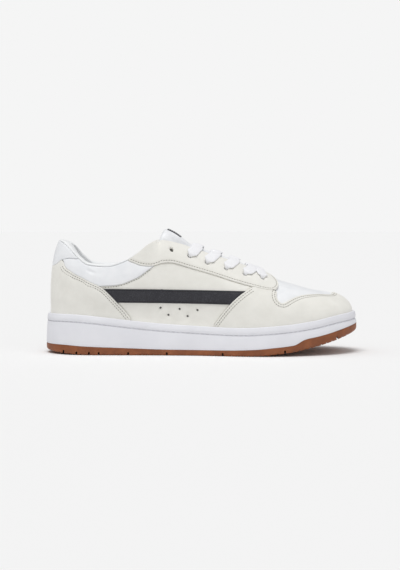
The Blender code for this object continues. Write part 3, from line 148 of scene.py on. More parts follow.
def spline(knots: Sequence[float], values: Sequence[float], slope: bool = False) -> Curve:
    """A natural cubic spline through the knots.

    Args:
        knots: where the values are given, rising.
        values: the curve's value at each knot.
        slope: gives the curve's slope instead of its value.

    Returns:
        The curve as a function of an array.
    """
    x, y = np.asarray(knots, float), np.asarray(values, float)
    h = np.diff(x)
    matrix, right = np.zeros((len(x), len(x))), np.zeros(len(x))
    matrix[0, 0] = matrix[-1, -1] = 1.0
    for i in range(1, len(x) - 1):
        matrix[i, i - 1 : i + 2] = (h[i - 1], 2 * (h[i - 1] + h[i]), h[i])
        right[i] = 6 * ((y[i + 1] - y[i]) / h[i] - (y[i] - y[i - 1]) / h[i - 1])
    bend = np.linalg.solve(matrix, right)

    def at(where: Array) -> Array:
        """The curve at these places.

        Args:
            where: the places, held to the knots' range.

        Returns:
            The values or slopes.
        """
        inside_it = np.clip(np.asarray(where, float), x[0], x[-1])
        i = np.clip(np.searchsorted(x, inside_it, side="right") - 1, 0, len(h) - 1)
        a = (x[i + 1] - inside_it) / h[i]
        b = 1 - a
        if slope:
            return (y[i + 1] - y[i]) / h[i] + h[i] / 6 * ((3 * b**2 - 1) * bend[i + 1] - (3 * a**2 - 1) * bend[i])
        return a * y[i] + b * y[i + 1] + ((a**3 - a) * bend[i] + (b**3 - b) * bend[i + 1]) * h[i] ** 2 / 6

    return at


def monotone(knots: Sequence[float], values: Sequence[float]) -> Curve:
    """A smooth curve through the knots that never overshoots them.

    Args:
        knots: where the values are given, rising.
        values: the curve's value at each knot.

    Returns:
        The curve as a function of an array.
    """
    x, y = np.asarray(knots, float), np.asarray(values, float)
    h = np.diff(x)
    secant = np.diff(y) / h
    slope = np.zeros(len(x))
    weights = (2 * h[1:] + h[:-1], h[1:] + 2 * h[:-1])
    with np.errstate(divide="ignore", invalid="ignore"):
        mean = (weights[0] + weights[1]) / (weights[0] / secant[:-1] + weights[1] / secant[1:])
    slope[1:-1] = np.where(secant[:-1] * secant[1:] > 0, mean, 0.0)
    slope[0], slope[-1] = secant[0], secant[-1]

    def at(where: Array) -> Array:
        """The curve at these places.

        Args:
            where: the places, held to the knots' range.

        Returns:
            The values.
        """
        inside_it = np.clip(np.asarray(where, float), x[0], x[-1])
        i = np.clip(np.searchsorted(x, inside_it, side="right") - 1, 0, len(h) - 1)
        t = (inside_it - x[i]) / h[i]
        start = (1 + 2 * t) * (1 - t) ** 2 * y[i] + t * (1 - t) ** 2 * h[i] * slope[i]
        return start + t**2 * (3 - 2 * t) * y[i + 1] + t**2 * (t - 1) * h[i] * slope[i + 1]

    return at


def ramp(low: float, high: float, at: Array) -> Array:
    """0 below low, 1 above high, and a smooth ramp between."""
    t = np.clip((np.asarray(at, float) - low) / (high - low), 0, 1)
    return t * t * (3 - 2 * t)


def unit(vectors: Array) -> Array:
    """The vectors at length one."""
    return vectors / np.maximum(np.linalg.norm(vectors, axis=-1, keepdims=True), 1e-12)


def lengths_along(points: Array) -> Array:
    """Distance run along a row of points, from 0 at the first."""
    return np.concatenate([[0.0], np.cumsum(np.linalg.norm(np.diff(points, axis=0), axis=1))])


def evenly(points: Array, step: float) -> Array:
    """The row of points spaced again, as near to the step as fits.

    Args:
        points: the row of points.
        step: the spacing aimed at.

    Returns:
        The new row.
    """
    run = lengths_along(points)
    even = np.linspace(0, run[-1], max(2, int(round(run[-1] / step)) + 1))
    return np.stack([np.interp(even, run, points[:, k]) for k in range(points.shape[1])], axis=1)


def blurred(values: Array, width: int) -> Array:
    """The values averaged over a few neighbours, with their ends kept."""
    padded = np.concatenate([np.full(width, values[0]), values, np.full(width, values[-1])])
    return np.convolve(padded, np.ones(2 * width + 1) / (2 * width + 1), mode="valid")


@dataclass(frozen=True)
class Last:
    """The surfaces of the shoe, from its named sizes."""

    length: float = 300.0
    ball_width: float = 104.0
    heel_width: float = 75.0
    toe_swing: float = 7.0
    heel_radius: float = 34.0
    toe_radius: float = 37.0
    heel_stack: float = 38.0
    toe_spring: float = 20.0
    gum_height: float = 9.5
    collar_height: float = 108.0
    instep_height: float = 110.5
    cup_depth: float = 8.0
    seat_gap: float = 0.3
    upper_inset: float = 7.0
    cup_rise: float = 0.1
    collar_front: float = 0.42
    throat_half_width: float = 15.0
    throat_end: float = 0.70

    def __post_init__(self) -> None:
        """Works the tables out into curves."""
        curves: dict[str, Curve] = {
            "ridge_up": spline(RIDGE["along"], RIDGE["up"]),
            "ridge_slope": spline(RIDGE["along"], RIDGE["up"], slope=True),
            "ridge_along": monotone(RIDGE_LAP["lap"], RIDGE_LAP["along"]),
            "rim_up": spline(SOLE_SIDE["along"], SOLE_SIDE["rim"]),
            "bottom": monotone(SOLE_SIDE["along"], SOLE_SIDE["bottom"]),
            "gum": monotone(SOLE_SIDE["along"], SOLE_SIDE["gum"]),
        }
        curves |= {f"collar_{k}": monotone(COLLAR["lap"], COLLAR[k]) for k in ("along", "half", "up")}
        curves |= {f"girth_{k}": monotone(GIRTH["lap"], GIRTH[k]) for k in GIRTH if k != "lap"}
        object.__setattr__(self, "curves", curves)
        object.__setattr__(self, "full", {side: self.fullness(side) for side in ("lateral", "medial")})
        laps, rises = np.linspace(0.002, 0.998, 220), np.linspace(self.cup_rise, 1.0, 120)
        object.__setattr__(self, "grid", (laps, rises, self.base(laps[:, None], rises[None, :])))
        laps = np.linspace(self.collar_front - 0.02, self.lap_of_ridge(self.throat_end), 300)
        object.__setattr__(self, "throat", (laps, self.top_rise(laps)))

    def x_of(self, along: Array) -> Array:
        """Distance from the origin of a share of the sole's length."""
        return (np.asarray(along, float) - 0.5) * self.length

    def along_of(self, x: Array) -> Array:
        """Share of the sole's length at x."""
        return np.asarray(x, float) / self.length + 0.5

    def centre_line(self, along: Array) -> Array:
        """How far the shoe's middle swings to the medial side."""
        return self.toe_swing * ramp(0.45, 1.0, along)

    def fullness(self, side: str) -> Curve:
        """Half width over sin(pi lap), which stays finite where heel and toe round off.

        Args:
            side: lateral or medial.

        Returns:
            The fullness as a function of the lap.
        """
        along = np.array(OUTLINE["along"])
        lap = np.arccos(1 - 2 * along) / np.pi
        width = self.heel_width + (self.ball_width - self.heel_width) * ramp(0.25, 0.60, along)
        half = np.array(OUTLINE[side]) * width
        swing = self.centre_line(along) * (1 if side == "lateral" else -1)
        ends = [math.sqrt(radius * self.length / 2) for radius in (self.heel_radius, self.toe_radius)]
        return spline([0.0, *lap, 1.0], [ends[0], *((half + swing) / np.sin(np.pi * lap)), ends[1]])

    def fold(self, lap: Array) -> tuple[Array, Array]:
        """(lap on one side, -1 lateral or 1 medial) of a lap that may run round the shoe."""
        wrapped = np.mod(np.asarray(lap, float), 2.0)
        return np.where(wrapped <= 1, wrapped, 2 - wrapped), np.where(wrapped <= 1, -1.0, 1.0)

    def outline(self, lap: Array, inset: Array = 0.0) -> Array:
        """The sole's outline from above, moved inwards by a distance.

        Args:
            lap: laps round the shoe.
            inset: how far inwards.

        Returns:
            Plan points.
        """

        def raw(at: Array) -> Array:
            """The largest outline.

            Args:
                at: laps round the shoe.

            Returns:
                Plan points.
            """
            one_side, side = self.fold(at)
            along = (1 - np.cos(np.pi * one_side)) / 2
            full = np.where(side < 0, self.full["lateral"](one_side), self.full["medial"](one_side))
            return np.stack([self.x_of(along), self.centre_line(along) + side * np.sin(np.pi * one_side) * full], -1)

        run = unit(raw(np.asarray(lap) + 1e-4) - raw(np.asarray(lap) - 1e-4))
        inwards = np.stack([-run[..., 1], run[..., 0]], axis=-1)
        return raw(lap) + inwards * np.asarray(inset, float)[..., None]

    def rim(self, x: Array) -> Array:
        """Height of the cup's rim at x."""
        return self.heel_stack * self.curves["rim_up"](self.along_of(x))

    def gum(self, x: Array) -> Array:
        """Height of the line between cup and tread at x."""
        return self.gum_height * self.curves["gum"](self.along_of(x))

    def bottom(self, x: Array) -> Array:
        """Height of the tread's bottom at x."""
        return self.toe_spring * self.curves["bottom"](self.along_of(x))

    def top_point(self, lap: Array) -> Array:
        """Where a lap ends: on the collar's top line, or on the ridge in front of it.

        Args:
            lap: laps round the shoe.

        Returns:
            The points.
        """
        one_side, side = self.fold(lap)
        curve = self.curves
        on_ridge = one_side >= self.collar_front
        along = np.where(on_ridge, curve["ridge_along"](one_side), curve["collar_along"](one_side))
        half = np.where(on_ridge, 0.0, curve["collar_half"](one_side)) * self.heel_width
        up = np.where(on_ridge, curve["ridge_up"](along) * self.instep_height,
                      curve["collar_up"](one_side) * self.collar_height)
        return np.stack([self.x_of(along), self.centre_line(along) + side * half, up], axis=-1)

    def base(self, lap: Array, rise: Array) -> Array:
        """The point of the upper's outer surface at lap and rise.

        Args:
            lap: laps round the shoe.
            rise: rises, from 0 at the cup's floor to 1 at the top.

        Returns:
            The points.
        """
        lap, rise = np.broadcast_arrays(np.asarray(lap, float), np.asarray(rise, float))
        one_side, side = self.fold(lap)
        curve = self.curves
        foot = self.outline(lap, self.upper_inset)
        inward = self.outline(lap, self.upper_inset + 1.0) - foot
        rim = self.rim(foot[..., 0])
        top = self.top_point(lap)
        reach = np.maximum(((top[..., :2] - foot) * inward).sum(axis=-1), 0)
        climb = top[..., 2] - rim
        on_ridge = ramp(self.collar_front - 0.03, self.collar_front, one_side)
        slope = curve["ridge_slope"](curve["ridge_along"](one_side)) * self.instep_height / self.length * on_ridge
        arrival = np.radians(curve["girth_arrival"](one_side))
        limits = (np.maximum(reach, 3.0) / np.maximum(np.cos(arrival), 0.02),
                  climb / np.maximum(np.sin(arrival), 0.02))
        handle = curve["girth_top_reach"](one_side) * (limits[0] ** -4 + limits[1] ** -4) ** -0.25
        t = np.clip((rise - self.cup_rise) / (1 - self.cup_rise), 0, 1)
        b1, b2, b3 = 3 * t * (1 - t) ** 2, 3 * t**2 * (1 - t), t**3
        end = np.cos(arrival) * handle
        near_top = top[..., :2] - inward * end[..., None]
        bulge = np.where(side < 0, curve["girth_bulge_lateral"](one_side), curve["girth_bulge_medial"](one_side))
        near_climb = climb - np.sin(arrival) * handle - slope * inward[..., 0] * end
        upward = b1 * curve["girth_rise_reach"](one_side) * climb + b2 * near_climb + b3 * climb
        out = bulge * self.heel_width * np.sin(np.pi * np.clip(upward / climb, 0, 1)) ** 2
        plan = (foot * (1 - b2 - b3)[..., None] + near_top * b2[..., None] + top[..., :2] * b3[..., None]
                - inward * out[..., None])
        floor = rim - self.cup_depth + self.seat_gap
        in_cup = rise < self.cup_rise
        plan = np.where(in_cup[..., None], foot, plan)
        low = floor + (rim - floor) * np.clip(rise / self.cup_rise, 0, 1)
        return np.concatenate([plan, np.where(in_cup, low, rim + upward)[..., None]], axis=-1)

    def normal(self, lap: Array, rise: Array) -> Array:
        """The outward unit normal of the upper's surface.

        Args:
            lap: laps round the shoe.
            rise: rises.

        Returns:
            The normals.
        """
        lap, rise = np.broadcast_arrays(np.asarray(lap, float), np.asarray(rise, float))
        step = 2e-4
        climb = self.base(lap, np.minimum(rise + step, 1.0)) - self.base(lap, np.maximum(rise - step, 0.0))
        level = np.minimum(rise, 0.995)
        across = unit(np.cross(self.base(lap + step, level) - self.base(lap - step, level), climb))
        one_side, _ = self.fold(lap)
        slope = self.curves["ridge_slope"](self.curves["ridge_along"](one_side)) * self.instep_height / self.length
        ridge = unit(np.stack([-slope, np.zeros_like(slope), np.ones_like(slope)], axis=-1))
        near = (ramp(0.93, 0.995, rise) * (one_side >= self.collar_front))[..., None]
        return unit(across * (1 - near) + ridge * near)

    def surface(self, lap: Array, rise: Array, offset: Array) -> Array:
        """The point at a distance outside the upper's surface."""
        return self.base(lap, rise) + self.normal(lap, rise) * np.asarray(offset, float)[..., None]

    def top_rise(self, lap: Array) -> Array:
        """The rise at which the upper ends: the top line, the throat's edge or the ridge.

        Args:
            lap: a row of laps.

        Returns:
            The rises.
        """
        rises = np.linspace(0, 1, 241)
        points = self.base(lap[:, None], rises[None, :])
        along = self.along_of(points[..., 0])
        flare = np.interp(along, THROAT_FLARE["along"], THROAT_FLARE["flare"])
        into_round = np.clip(1 - (self.x_of(self.throat_end) - points[..., 0]) / self.throat_half_width, 0, 1)
        half = self.throat_half_width * (1 + flare) * np.sqrt(1 - into_round**2)
        room = np.abs(points[..., 1] - self.centre_line(along)) - half
        here = (room < 0) & (along > THROAT_FLARE["along"][0]) & (along < self.throat_end) & (rises > 0.4)
        ends = np.ones(len(lap))
        for i in np.flatnonzero(here.any(axis=1)):
            j = int(np.argmax(here[i]))
            share = room[i, j - 1] / (room[i, j - 1] - room[i, j])
            ends[i] = rises[j - 1] + share * (rises[j] - rises[j - 1])
        return ends

    def lap_of_ridge(self, along: float) -> float:
        """The lateral lap that meets the ridge at this share of the length."""
        laps = np.linspace(self.collar_front, 1, 400)
        return float(np.interp(along, self.curves["ridge_along"](laps), laps))

    def on_side(self, along: float, up: float, medial: bool = False) -> tuple[float, float]:
        """(lap, rise) of a point given as it is seen from the side.

        Args:
            along: its share of the length.
            up: its share of the collar height.
            medial: the point is on the medial side, whose lap is still given as its lateral twin's.

        Returns:
            The lateral lap and the rise.
        """
        goal = np.array([float(self.x_of(along)), up * self.collar_height])
        laps, rises, grid = self.grid
        i, j = np.unravel_index(int(np.argmin(np.linalg.norm(grid[..., [0, 2]] - goal, axis=-1))), grid.shape[:2])
        at = np.array([laps[i], rises[j]])
        step = 1e-4
        for _ in range(12):
            laps = np.array([at[0], at[0] + step, at[0]])
            laps = 2 - laps if medial else laps
            here, ahead, below = self.base(laps, np.array([at[1], at[1], at[1] - step]))[:, [0, 2]]
            turn = np.stack([ahead - here, below - here], axis=1)
            move = np.linalg.lstsq(turn, goal - here, rcond=1e-6)[0] * np.array([step, -step])
            at = np.clip(at + np.clip(move, -0.02, 0.02), [0.001, self.cup_rise], [0.999, 1.0])
        return float(at[0]), float(at[1])

    def from_above(self, along: float, half: float) -> tuple[float, float]:
        """(lap, rise) of a point of the lateral side, given as it is seen from above.

        Args:
            along: its share of the length.
            half: its distance from the centre line, as a share of the ball's width.

        Returns:
            The lap and the rise.
        """
        goal = np.array([float(self.x_of(along)), float(self.centre_line(along)) - half * self.ball_width])
        laps, rises = np.linspace(0.6, 1.0, 241)[:, None], np.linspace(0.2, 1, 241)
        miss = np.linalg.norm(self.base(laps, rises[None, :])[..., :2] - goal, axis=-1)
        i, j = np.unravel_index(int(np.argmin(miss)), miss.shape)
        return float(laps[i, 0]), float(rises[j])

    def throat_share(self, lap: Array, rise: Array) -> Array:
        """0 on the ridge, 1 at the throat's edge, and more outside it."""
        one_side, _ = self.fold(lap)
        return (1 - np.asarray(rise)) / np.maximum(1 - np.interp(one_side, *self.throat), 1e-3)

    def creased(self, points: Array) -> Array:
        """How far the listed creases push each point of the surface.

        Args:
            points: points of the surface.

        Returns:
            The distances outwards.
        """
        spot, out = points[..., [0, 2]], np.zeros(points.shape[:-1])
        for x0, z0, x1, z1, depth, width in CREASES:
            start, run = np.array([x0, z0]), np.array([x1 - x0, z1 - z0])
            share = ((spot - start) @ run) / float(run @ run)
            away = np.linalg.norm(spot - start - np.clip(share, 0, 1)[..., None] * run, axis=-1)
            taper = ramp(-0.25, 0.35, share) * (1 - ramp(0.65, 1.25, share))
            out -= depth * taper * np.exp(-((away / width) ** 2))
            out += RIDGE_SHARE * depth * taper * np.exp(-(((away - RIDGE_AWAY * width) / width) ** 2))
        return out


LAST = Last()


@dataclass(frozen=True)
class PatternPlane:
    """The flat pattern in which panels are drawn; both its axes are close to millimetres on the shoe."""

    girth_length: float = 95.0
    probe: float = 2.5

    def __post_init__(self) -> None:
        """Measures the run round the shoe."""
        laps = np.linspace(-1, 3, 2401)
        runs = lengths_along(LAST.base(laps, 0.35))
        object.__setattr__(self, "laps", laps)
        object.__setattr__(self, "runs", runs - np.interp(0.0, laps, runs))

    def draw(self, pairs: Array) -> Array:
        """Pattern-plane points of (lap, rise) pairs."""
        pairs = np.asarray(pairs, float)
        return np.stack([np.interp(pairs[:, 0], self.laps, self.runs), pairs[:, 1] * self.girth_length], axis=1)

    def read(self, points: Array) -> Array:
        """(lap, rise) pairs of pattern-plane points."""
        return np.stack([np.interp(points[:, 0], self.runs, self.laps), points[:, 1] / self.girth_length], axis=1)

    def side(self, rows: Sequence[tuple[float, float]], medial: bool = False) -> Array:
        """Lateral pattern-plane points of an edge given as it is seen from the side, or from the medial side."""
        return self.draw([LAST.on_side(*row, medial) for row in rows])

    def medial(self, run: Array) -> Array:
        """A lateral run on the medial side."""
        pairs = self.read(run)
        return self.draw(np.stack([2 - pairs[:, 0], pairs[:, 1]], axis=1))

    def round_heel(self, run: Array) -> Array:
        """A lateral run on the medial side, reached round the heel."""
        pairs = self.read(run)
        return self.draw(np.stack([-pairs[:, 0], pairs[:, 1]], axis=1))

    def past_ridge(self, run: Array) -> Array:
        """A lateral run on the medial side, reached over the ridge."""
        pairs = self.read(run)
        return self.draw(np.stack([pairs[:, 0], 2 - pairs[:, 1]], axis=1))

    def level(self, start: float, end: float, rise: float, step: float) -> Array:
        """A run along the shoe at a constant rise."""
        return evenly(self.draw([(start, rise), (end, rise)]), step)

    def top(self, start: float, end: float, step: float, drop: float = 0.0) -> Array:
        """A run along the upper's top edge, from one lateral lap to another."""
        laps = np.linspace(start, end, 160)
        return evenly(self.draw(np.stack([laps, LAST.top_rise(laps) - drop], axis=1)), step)

    def curve(self, rows: Sequence[tuple[float, float]], step: float) -> Array:
        """A curve that is smooth as it is seen from the side, through a few points.

        Args:
            rows: the points, in shares of length and collar height.
            step: the spacing of the result.

        Returns:
            Pattern-plane points.
        """
        scale = np.array([LAST.length, LAST.collar_height])
        rows = np.asarray(rows, float) * scale
        knots = lengths_along(rows)
        at = np.linspace(0, knots[-1], max(3, int(knots[-1] / self.probe)))
        fine = np.stack([spline(knots, rows[:, k])(at) for k in (0, 1)], axis=1) / scale
        return evenly(self.side([tuple(row) for row in fine]), step)

    def smooth(self, points: Array, step: float) -> Array:
        """A smooth curve through a few points, evenly spaced.

        Args:
            points: pattern-plane points.
            step: the spacing of the result.

        Returns:
            Pattern-plane points.
        """
        points = np.asarray(points, float)
        knots = lengths_along(points)
        at = np.linspace(0, knots[-1], 400)
        if len(points) < 3:
            return evenly(points, step)
        return evenly(np.stack([spline(knots, points[:, k])(at) for k in (0, 1)], axis=1), step)


PLANE = PatternPlane()


def over_ridge(pairs: Array) -> Array:
    """(lap, rise) pairs where a rise above 1 means the medial side, past the ridge."""
    past = pairs[:, 1] > 1
    return np.stack([np.where(past, 2 - pairs[:, 0], pairs[:, 0]), np.where(past, 2 - pairs[:, 1], pairs[:, 1])], 1)


def closed(runs: Sequence[Array]) -> Array:
    """One closed loop from runs that join end to start."""
    return np.concatenate([run[:-1] for run in runs])


def nearest(run: Array, point: Array) -> int:
    """Index of the run's point that is nearest to a point."""
    return int(np.argmin(np.linalg.norm(run - point, axis=1)))


def inset(loop: Array, distance: float) -> Array:
    """A closed loop moved inwards.

    Args:
        loop: the loop, in the pattern plane.
        distance: how far.

    Returns:
        The moved loop, turning to the left.
    """
    if np.sum(loop[:, 0] * np.roll(loop[:, 1], -1) - np.roll(loop[:, 0], -1) * loop[:, 1]) < 0:
        loop = loop[::-1]
    before, after = unit(loop - np.roll(loop, 1, axis=0)), unit(np.roll(loop, -1, axis=0) - loop)
    middle = np.stack([-before[:, 1] - after[:, 1], before[:, 0] + after[:, 0]], axis=1)
    return loop + distance * middle / np.maximum((middle**2).sum(axis=1, keepdims=True) / 2, 0.35)


def is_inside(points: Array, loop: Array) -> Array:
    """Which points are inside the loop.

    Args:
        points: the points, in the pattern plane.
        loop: the closed loop.

    Returns:
        One truth value for each point.
    """
    x, y = points[:, 0][:, None], points[:, 1][:, None]
    (x0, y0), (x1, y1) = loop.T, np.roll(loop, -1, axis=0).T
    with np.errstate(divide="ignore", invalid="ignore"):
        at = x0 + (y - y0) * (x1 - x0) / (y1 - y0)
    return (((y0 > y) != (y1 > y)) & (x < at)).sum(axis=1) % 2 == 1


def distance_to(points: Array, line: Array, loop: bool = True) -> Array:
    """Distance of each point to a loop, or to an open line.

    Args:
        points: the points.
        line: points of the loop or line.
        loop: the line closes on itself.

    Returns:
        The distances.
    """
    start, end = (line, np.roll(line, -1, axis=0)) if loop else (line[:-1], line[1:])
    run = end - start
    squares = np.maximum((run**2).sum(-1), 1e-12)
    found = np.empty(len(points))
    for first in range(0, len(points), BATCH):
        some = points[first : first + BATCH, None]
        share = np.clip(((some - start) * run).sum(-1) / squares, 0, 1)
        found[first : first + BATCH] = np.linalg.norm(some - start - share[..., None] * run, axis=-1).min(axis=1)
    return found


def fill(loops: Sequence[Array], step: float, insets: Sequence[float]) -> tuple[Array, Array]:
    """Fills the first loop, less the others, with triangles.

    Args:
        loops: the boundary and any holes, in the pattern plane.
        step: the spacing of the points inside.
        insets: distances from the boundary at which rows of points follow it.

    Returns:
        The points and the triangles.
    """
    rows = [inset(loops[0], distance) for distance in insets]
    kept = [row[distance_to(row, loops[0]) > 0.92 * d] for row, d in zip(rows, insets)]
    low, high = loops[0].min(axis=0), loops[0].max(axis=0)
    seeds = np.array([(x, y) for i, y in enumerate(np.arange(low[1], high[1], step * ROW_SPACING))
                      for x in np.arange(low[0] + (i % 2) * step / 2, high[0], step)])
    seeds = seeds[is_inside(seeds, loops[0])]
    kept.append(seeds[distance_to(seeds, loops[0]) > (max(insets) if insets else 0) + 0.5 * step])
    seeds = np.concatenate(kept)
    seeds = seeds[is_inside(seeds, loops[0])]
    for hole in loops[1:]:
        seeds = seeds[(distance_to(seeds, hole) > 0.4 * step) & ~is_inside(seeds, hole)]
    points, edges = list(map(tuple, seeds)), []
    for loop in loops:
        start = len(points)
        points += list(map(tuple, loop))
        edges += [(start + i, start + (i + 1) % len(loop)) for i in range(len(loop))]
    made = delaunay_2d_cdt(points, edges, [], 0, 1e-5)
    points, faces = np.array([tuple(p) for p in made[0]]), np.array(made[2])
    middles = points[faces].mean(axis=1)
    keep = is_inside(middles, loops[0])
    for hole in loops[1:]:
        keep &= ~is_inside(middles, hole)
    return points, faces[keep]


def hole_loop(row: tuple[float, float], radius: float, sides: int = 20) -> Array:
    """The loop of a round hole in the pattern plane.

    Args:
        row: its centre as seen from the side, in shares of length and collar height.
        radius: its true radius on the shoe.
        sides: its corners.

    Returns:
        The loop.
    """
    centre = PLANE.side([row])[0]
    here = LAST.base(*PLANE.read(centre[None])[0])
    probe = PLANE.read(centre + np.array([[0.5, 0], [0, 0.5]]))
    scale = [0.5 / np.linalg.norm(LAST.base(*probe[k]) - here) for k in (0, 1)]
    turn = np.arange(sides) * 2 * np.pi / sides
    return centre + np.stack([np.cos(turn) * scale[0], np.sin(turn) * scale[1]], axis=1) * radius


def shifted(run: Array, distance: float, left: bool) -> Array:
    """A run of the pattern moved sideways by a true distance on the shoe.

    Args:
        run: pattern-plane points of the lateral side.
        distance: how far, in millimetres on the surface.
        left: moves to the left of the run's direction in the plane, otherwise to the right.

    Returns:
        The moved run.
    """
    tangent = unit(np.gradient(run, axis=0))
    side = np.stack([-tangent[:, 1], tangent[:, 0]], axis=1) * (1 if left else -1)
    pairs, ahead = PLANE.read(run), PLANE.read(run + side * 0.5)
    scale = np.linalg.norm(LAST.base(*ahead.T) - LAST.base(*pairs.T), axis=1) / 0.5
    return run + side * (distance / np.maximum(blurred(scale, 3), 0.2))[:, None]


def make_object(name: str, points: Array, faces: Sequence, finish: bpy.types.Material,
                uv: Union[Array, None] = None, angle: float = 50.0) -> bpy.types.Object:
    """A named object at the origin, from points in millimetres.

    Args:
        name: the piece's name.
        points: its points.
        faces: its faces, as rows of point indices.
        finish: its material.
        uv: a pair for each point, where the finish follows the surface.
        angle: edges sharper than this stay sharp.

    Returns:
        The object, linked to the scene.
    """
    mesh = bpy.data.meshes.new(name)
    mesh.from_pydata(np.asarray(points, float) * MM, [], [tuple(int(i) for i in face) for face in faces])
    mesh.validate()
    if uv is not None:
        corners = np.empty(len(mesh.loops), np.int32)
        mesh.loops.foreach_get("vertex_index", corners)
        layer = mesh.uv_layers.new(name="UVMap")
        layer.data.foreach_set("uv", np.asarray(uv, np.float32)[corners].ravel())
    mesh.shade_smooth()
    mesh.set_sharp_from_angle(angle=math.radians(angle))
    mesh.materials.append(finish)
    made = bpy.data.objects.new(name, mesh)
    bpy.context.scene.collection.objects.link(made)
    return made


def outward(points: Array, faces: list[tuple[int, ...]]) -> list[tuple[int, ...]]:
    """The faces, all turned over if the solid they bound is inside out.

    Args:
        points: the solid's points.
        faces: its faces.

    Returns:
        The faces, facing outwards.
    """
    volume = 0.0
    for face in faces:
        corners = points[list(face)]
        volume += float(np.cross(corners[1:-1], corners[2:]).sum(axis=0) @ corners[0])
    return faces if volume > 0 else [tuple(face)[::-1] for face in faces]


def loft(sections: Array, folded: bool = False) -> tuple[Array, list[tuple[int, ...]]]:
    """A closed solid through rings of equal point counts.

    Args:
        sections: stations by ring points by 3.
        folded: closes each end across the ring, from its first half to its second, instead of by one face.

    Returns:
        The points and the outward faces.
    """
    stations, count = sections.shape[:2]
    points = sections.reshape(-1, 3)
    last = (stations - 1) * count
    faces: list[tuple[int, ...]] = [tuple(range(count))[::-1], tuple(range(last, last + count))]
    if folded:
        strips = [(j, count - 1 - j, count - 2 - j, j + 1) for j in range(count // 2 - 1)]
        faces = strips + [tuple(last + j for j in strip[::-1]) for strip in strips]
    for i in range(stations - 1):
        for j in range(count):
            k = (j + 1) % count
            faces.append((i * count + j, i * count + k, (i + 1) * count + k, (i + 1) * count + j))
    return points, outward(points, faces)


def rounded_ends(sections: Array, reach: float, steps: int = 5) -> Array:
    """The sections with a domed cap on each end.

    Args:
        sections: stations by ring points by 3.
        reach: height of each dome.
        steps: rings in each dome.

    Returns:
        All sections.
    """
    caps = []
    for end, inner in ((0, 1), (-1, -2)):
        ring = sections[end]
        middle = ring.mean(axis=0)
        out = unit(middle - sections[inner].mean(axis=0))
        turns = np.linspace(0, np.pi / 2, steps + 1)[1:]
        caps.append([middle + (ring - middle) * max(math.cos(a), 0.04) + out * reach * math.sin(a) for a in turns])
    return np.concatenate([np.array(caps[0])[::-1], sections, np.array(caps[1])])


def shell(pairs: Array, faces: Array, outer: Array, inner: Array) -> tuple[Array, list[tuple[int, ...]]]:
    """A closed shell between two offsets from the upper's surface.

    Args:
        pairs: (lap, rise) of each point.
        faces: triangles of points.
        outer: offset of the outer face at each point.
        inner: offset of the inner face at each point.

    Returns:
        The points and the faces.
    """
    middle, out = LAST.base(*pairs.T), LAST.normal(*pairs.T)
    rounded = np.round(middle / 1e-3).astype(np.int64)
    _, first, index = np.unique(rounded, axis=0, return_index=True, return_inverse=True)
    index = index.reshape(-1)
    faces = index[faces]
    joined = np.zeros((len(first), 3))
    np.add.at(joined, index, out)
    joined, middle, outer, inner = unit(joined), middle[first], outer[first], inner[first]
    faces = faces[(faces[:, 0] != faces[:, 1]) & (faces[:, 1] != faces[:, 2]) & (faces[:, 0] != faces[:, 2])]
    _, match, times = np.unique(np.sort(faces, axis=1), axis=0, return_inverse=True, return_counts=True)
    faces = faces[times[match.reshape(-1)] == 1]
    corners = middle[faces]
    turn = np.cross(corners[:, 1] - corners[:, 0], corners[:, 2] - corners[:, 0])
    if (turn * joined[faces].sum(axis=1)).sum() < 0:
        faces = faces[:, ::-1]
    count = len(middle)
    directed = np.concatenate([faces[:, [0, 1]], faces[:, [1, 2]], faces[:, [2, 0]]])
    known = set(map(tuple, directed))
    walls = [(b, a, a + count, b + count) for a, b in map(tuple, directed) if (b, a) not in known]
    points = np.concatenate([middle + joined * outer[:, None], middle + joined * inner[:, None]])
    return points, [tuple(f) for f in faces] + [tuple(f[::-1] + count) for f in faces] + walls


class Socket:
    """A shader socket that takes part in Python expressions."""

    def __init__(self, graph: "Graph", socket: bpy.types.NodeSocket) -> None:
        """Holds a socket of a graph."""
        self.graph, self.socket = graph, socket

    def maths(self, operation: str, *values: "Value") -> "Socket":
        """A Math node on this socket and the values."""
        return self.graph.node("ShaderNodeMath", {"operation": operation}, dict(enumerate((self, *values))))

    def __add__(self, other: "Value") -> "Socket":
        """self + other."""
        return self.maths("ADD", other)

    def __mul__(self, other: "Value") -> "Socket":
        """self * other."""
        return self.maths("MULTIPLY", other)

    def __sub__(self, other: "Value") -> "Socket":
        """self - other."""
        return self.maths("SUBTRACT", other)

    def __rsub__(self, other: float) -> "Socket":
        """other - self."""
        return self.maths("MULTIPLY", -1.0).maths("ADD", other)

    __radd__ = __add__
    __rmul__ = __mul__

    def sine(self) -> "Socket":
        """sin(self)."""
        return self.maths("SINE")

    def between(self, low: float, high: float) -> "Socket":
        """0 below low, 1 above high, smooth between."""
        found = {"Value": self, "From Min": low, "From Max": high}
        return self.graph.node("ShaderNodeMapRange", {"interpolation_type": "SMOOTHSTEP"}, found)


Value = Union[Socket, float]
Colour = tuple[float, float, float]


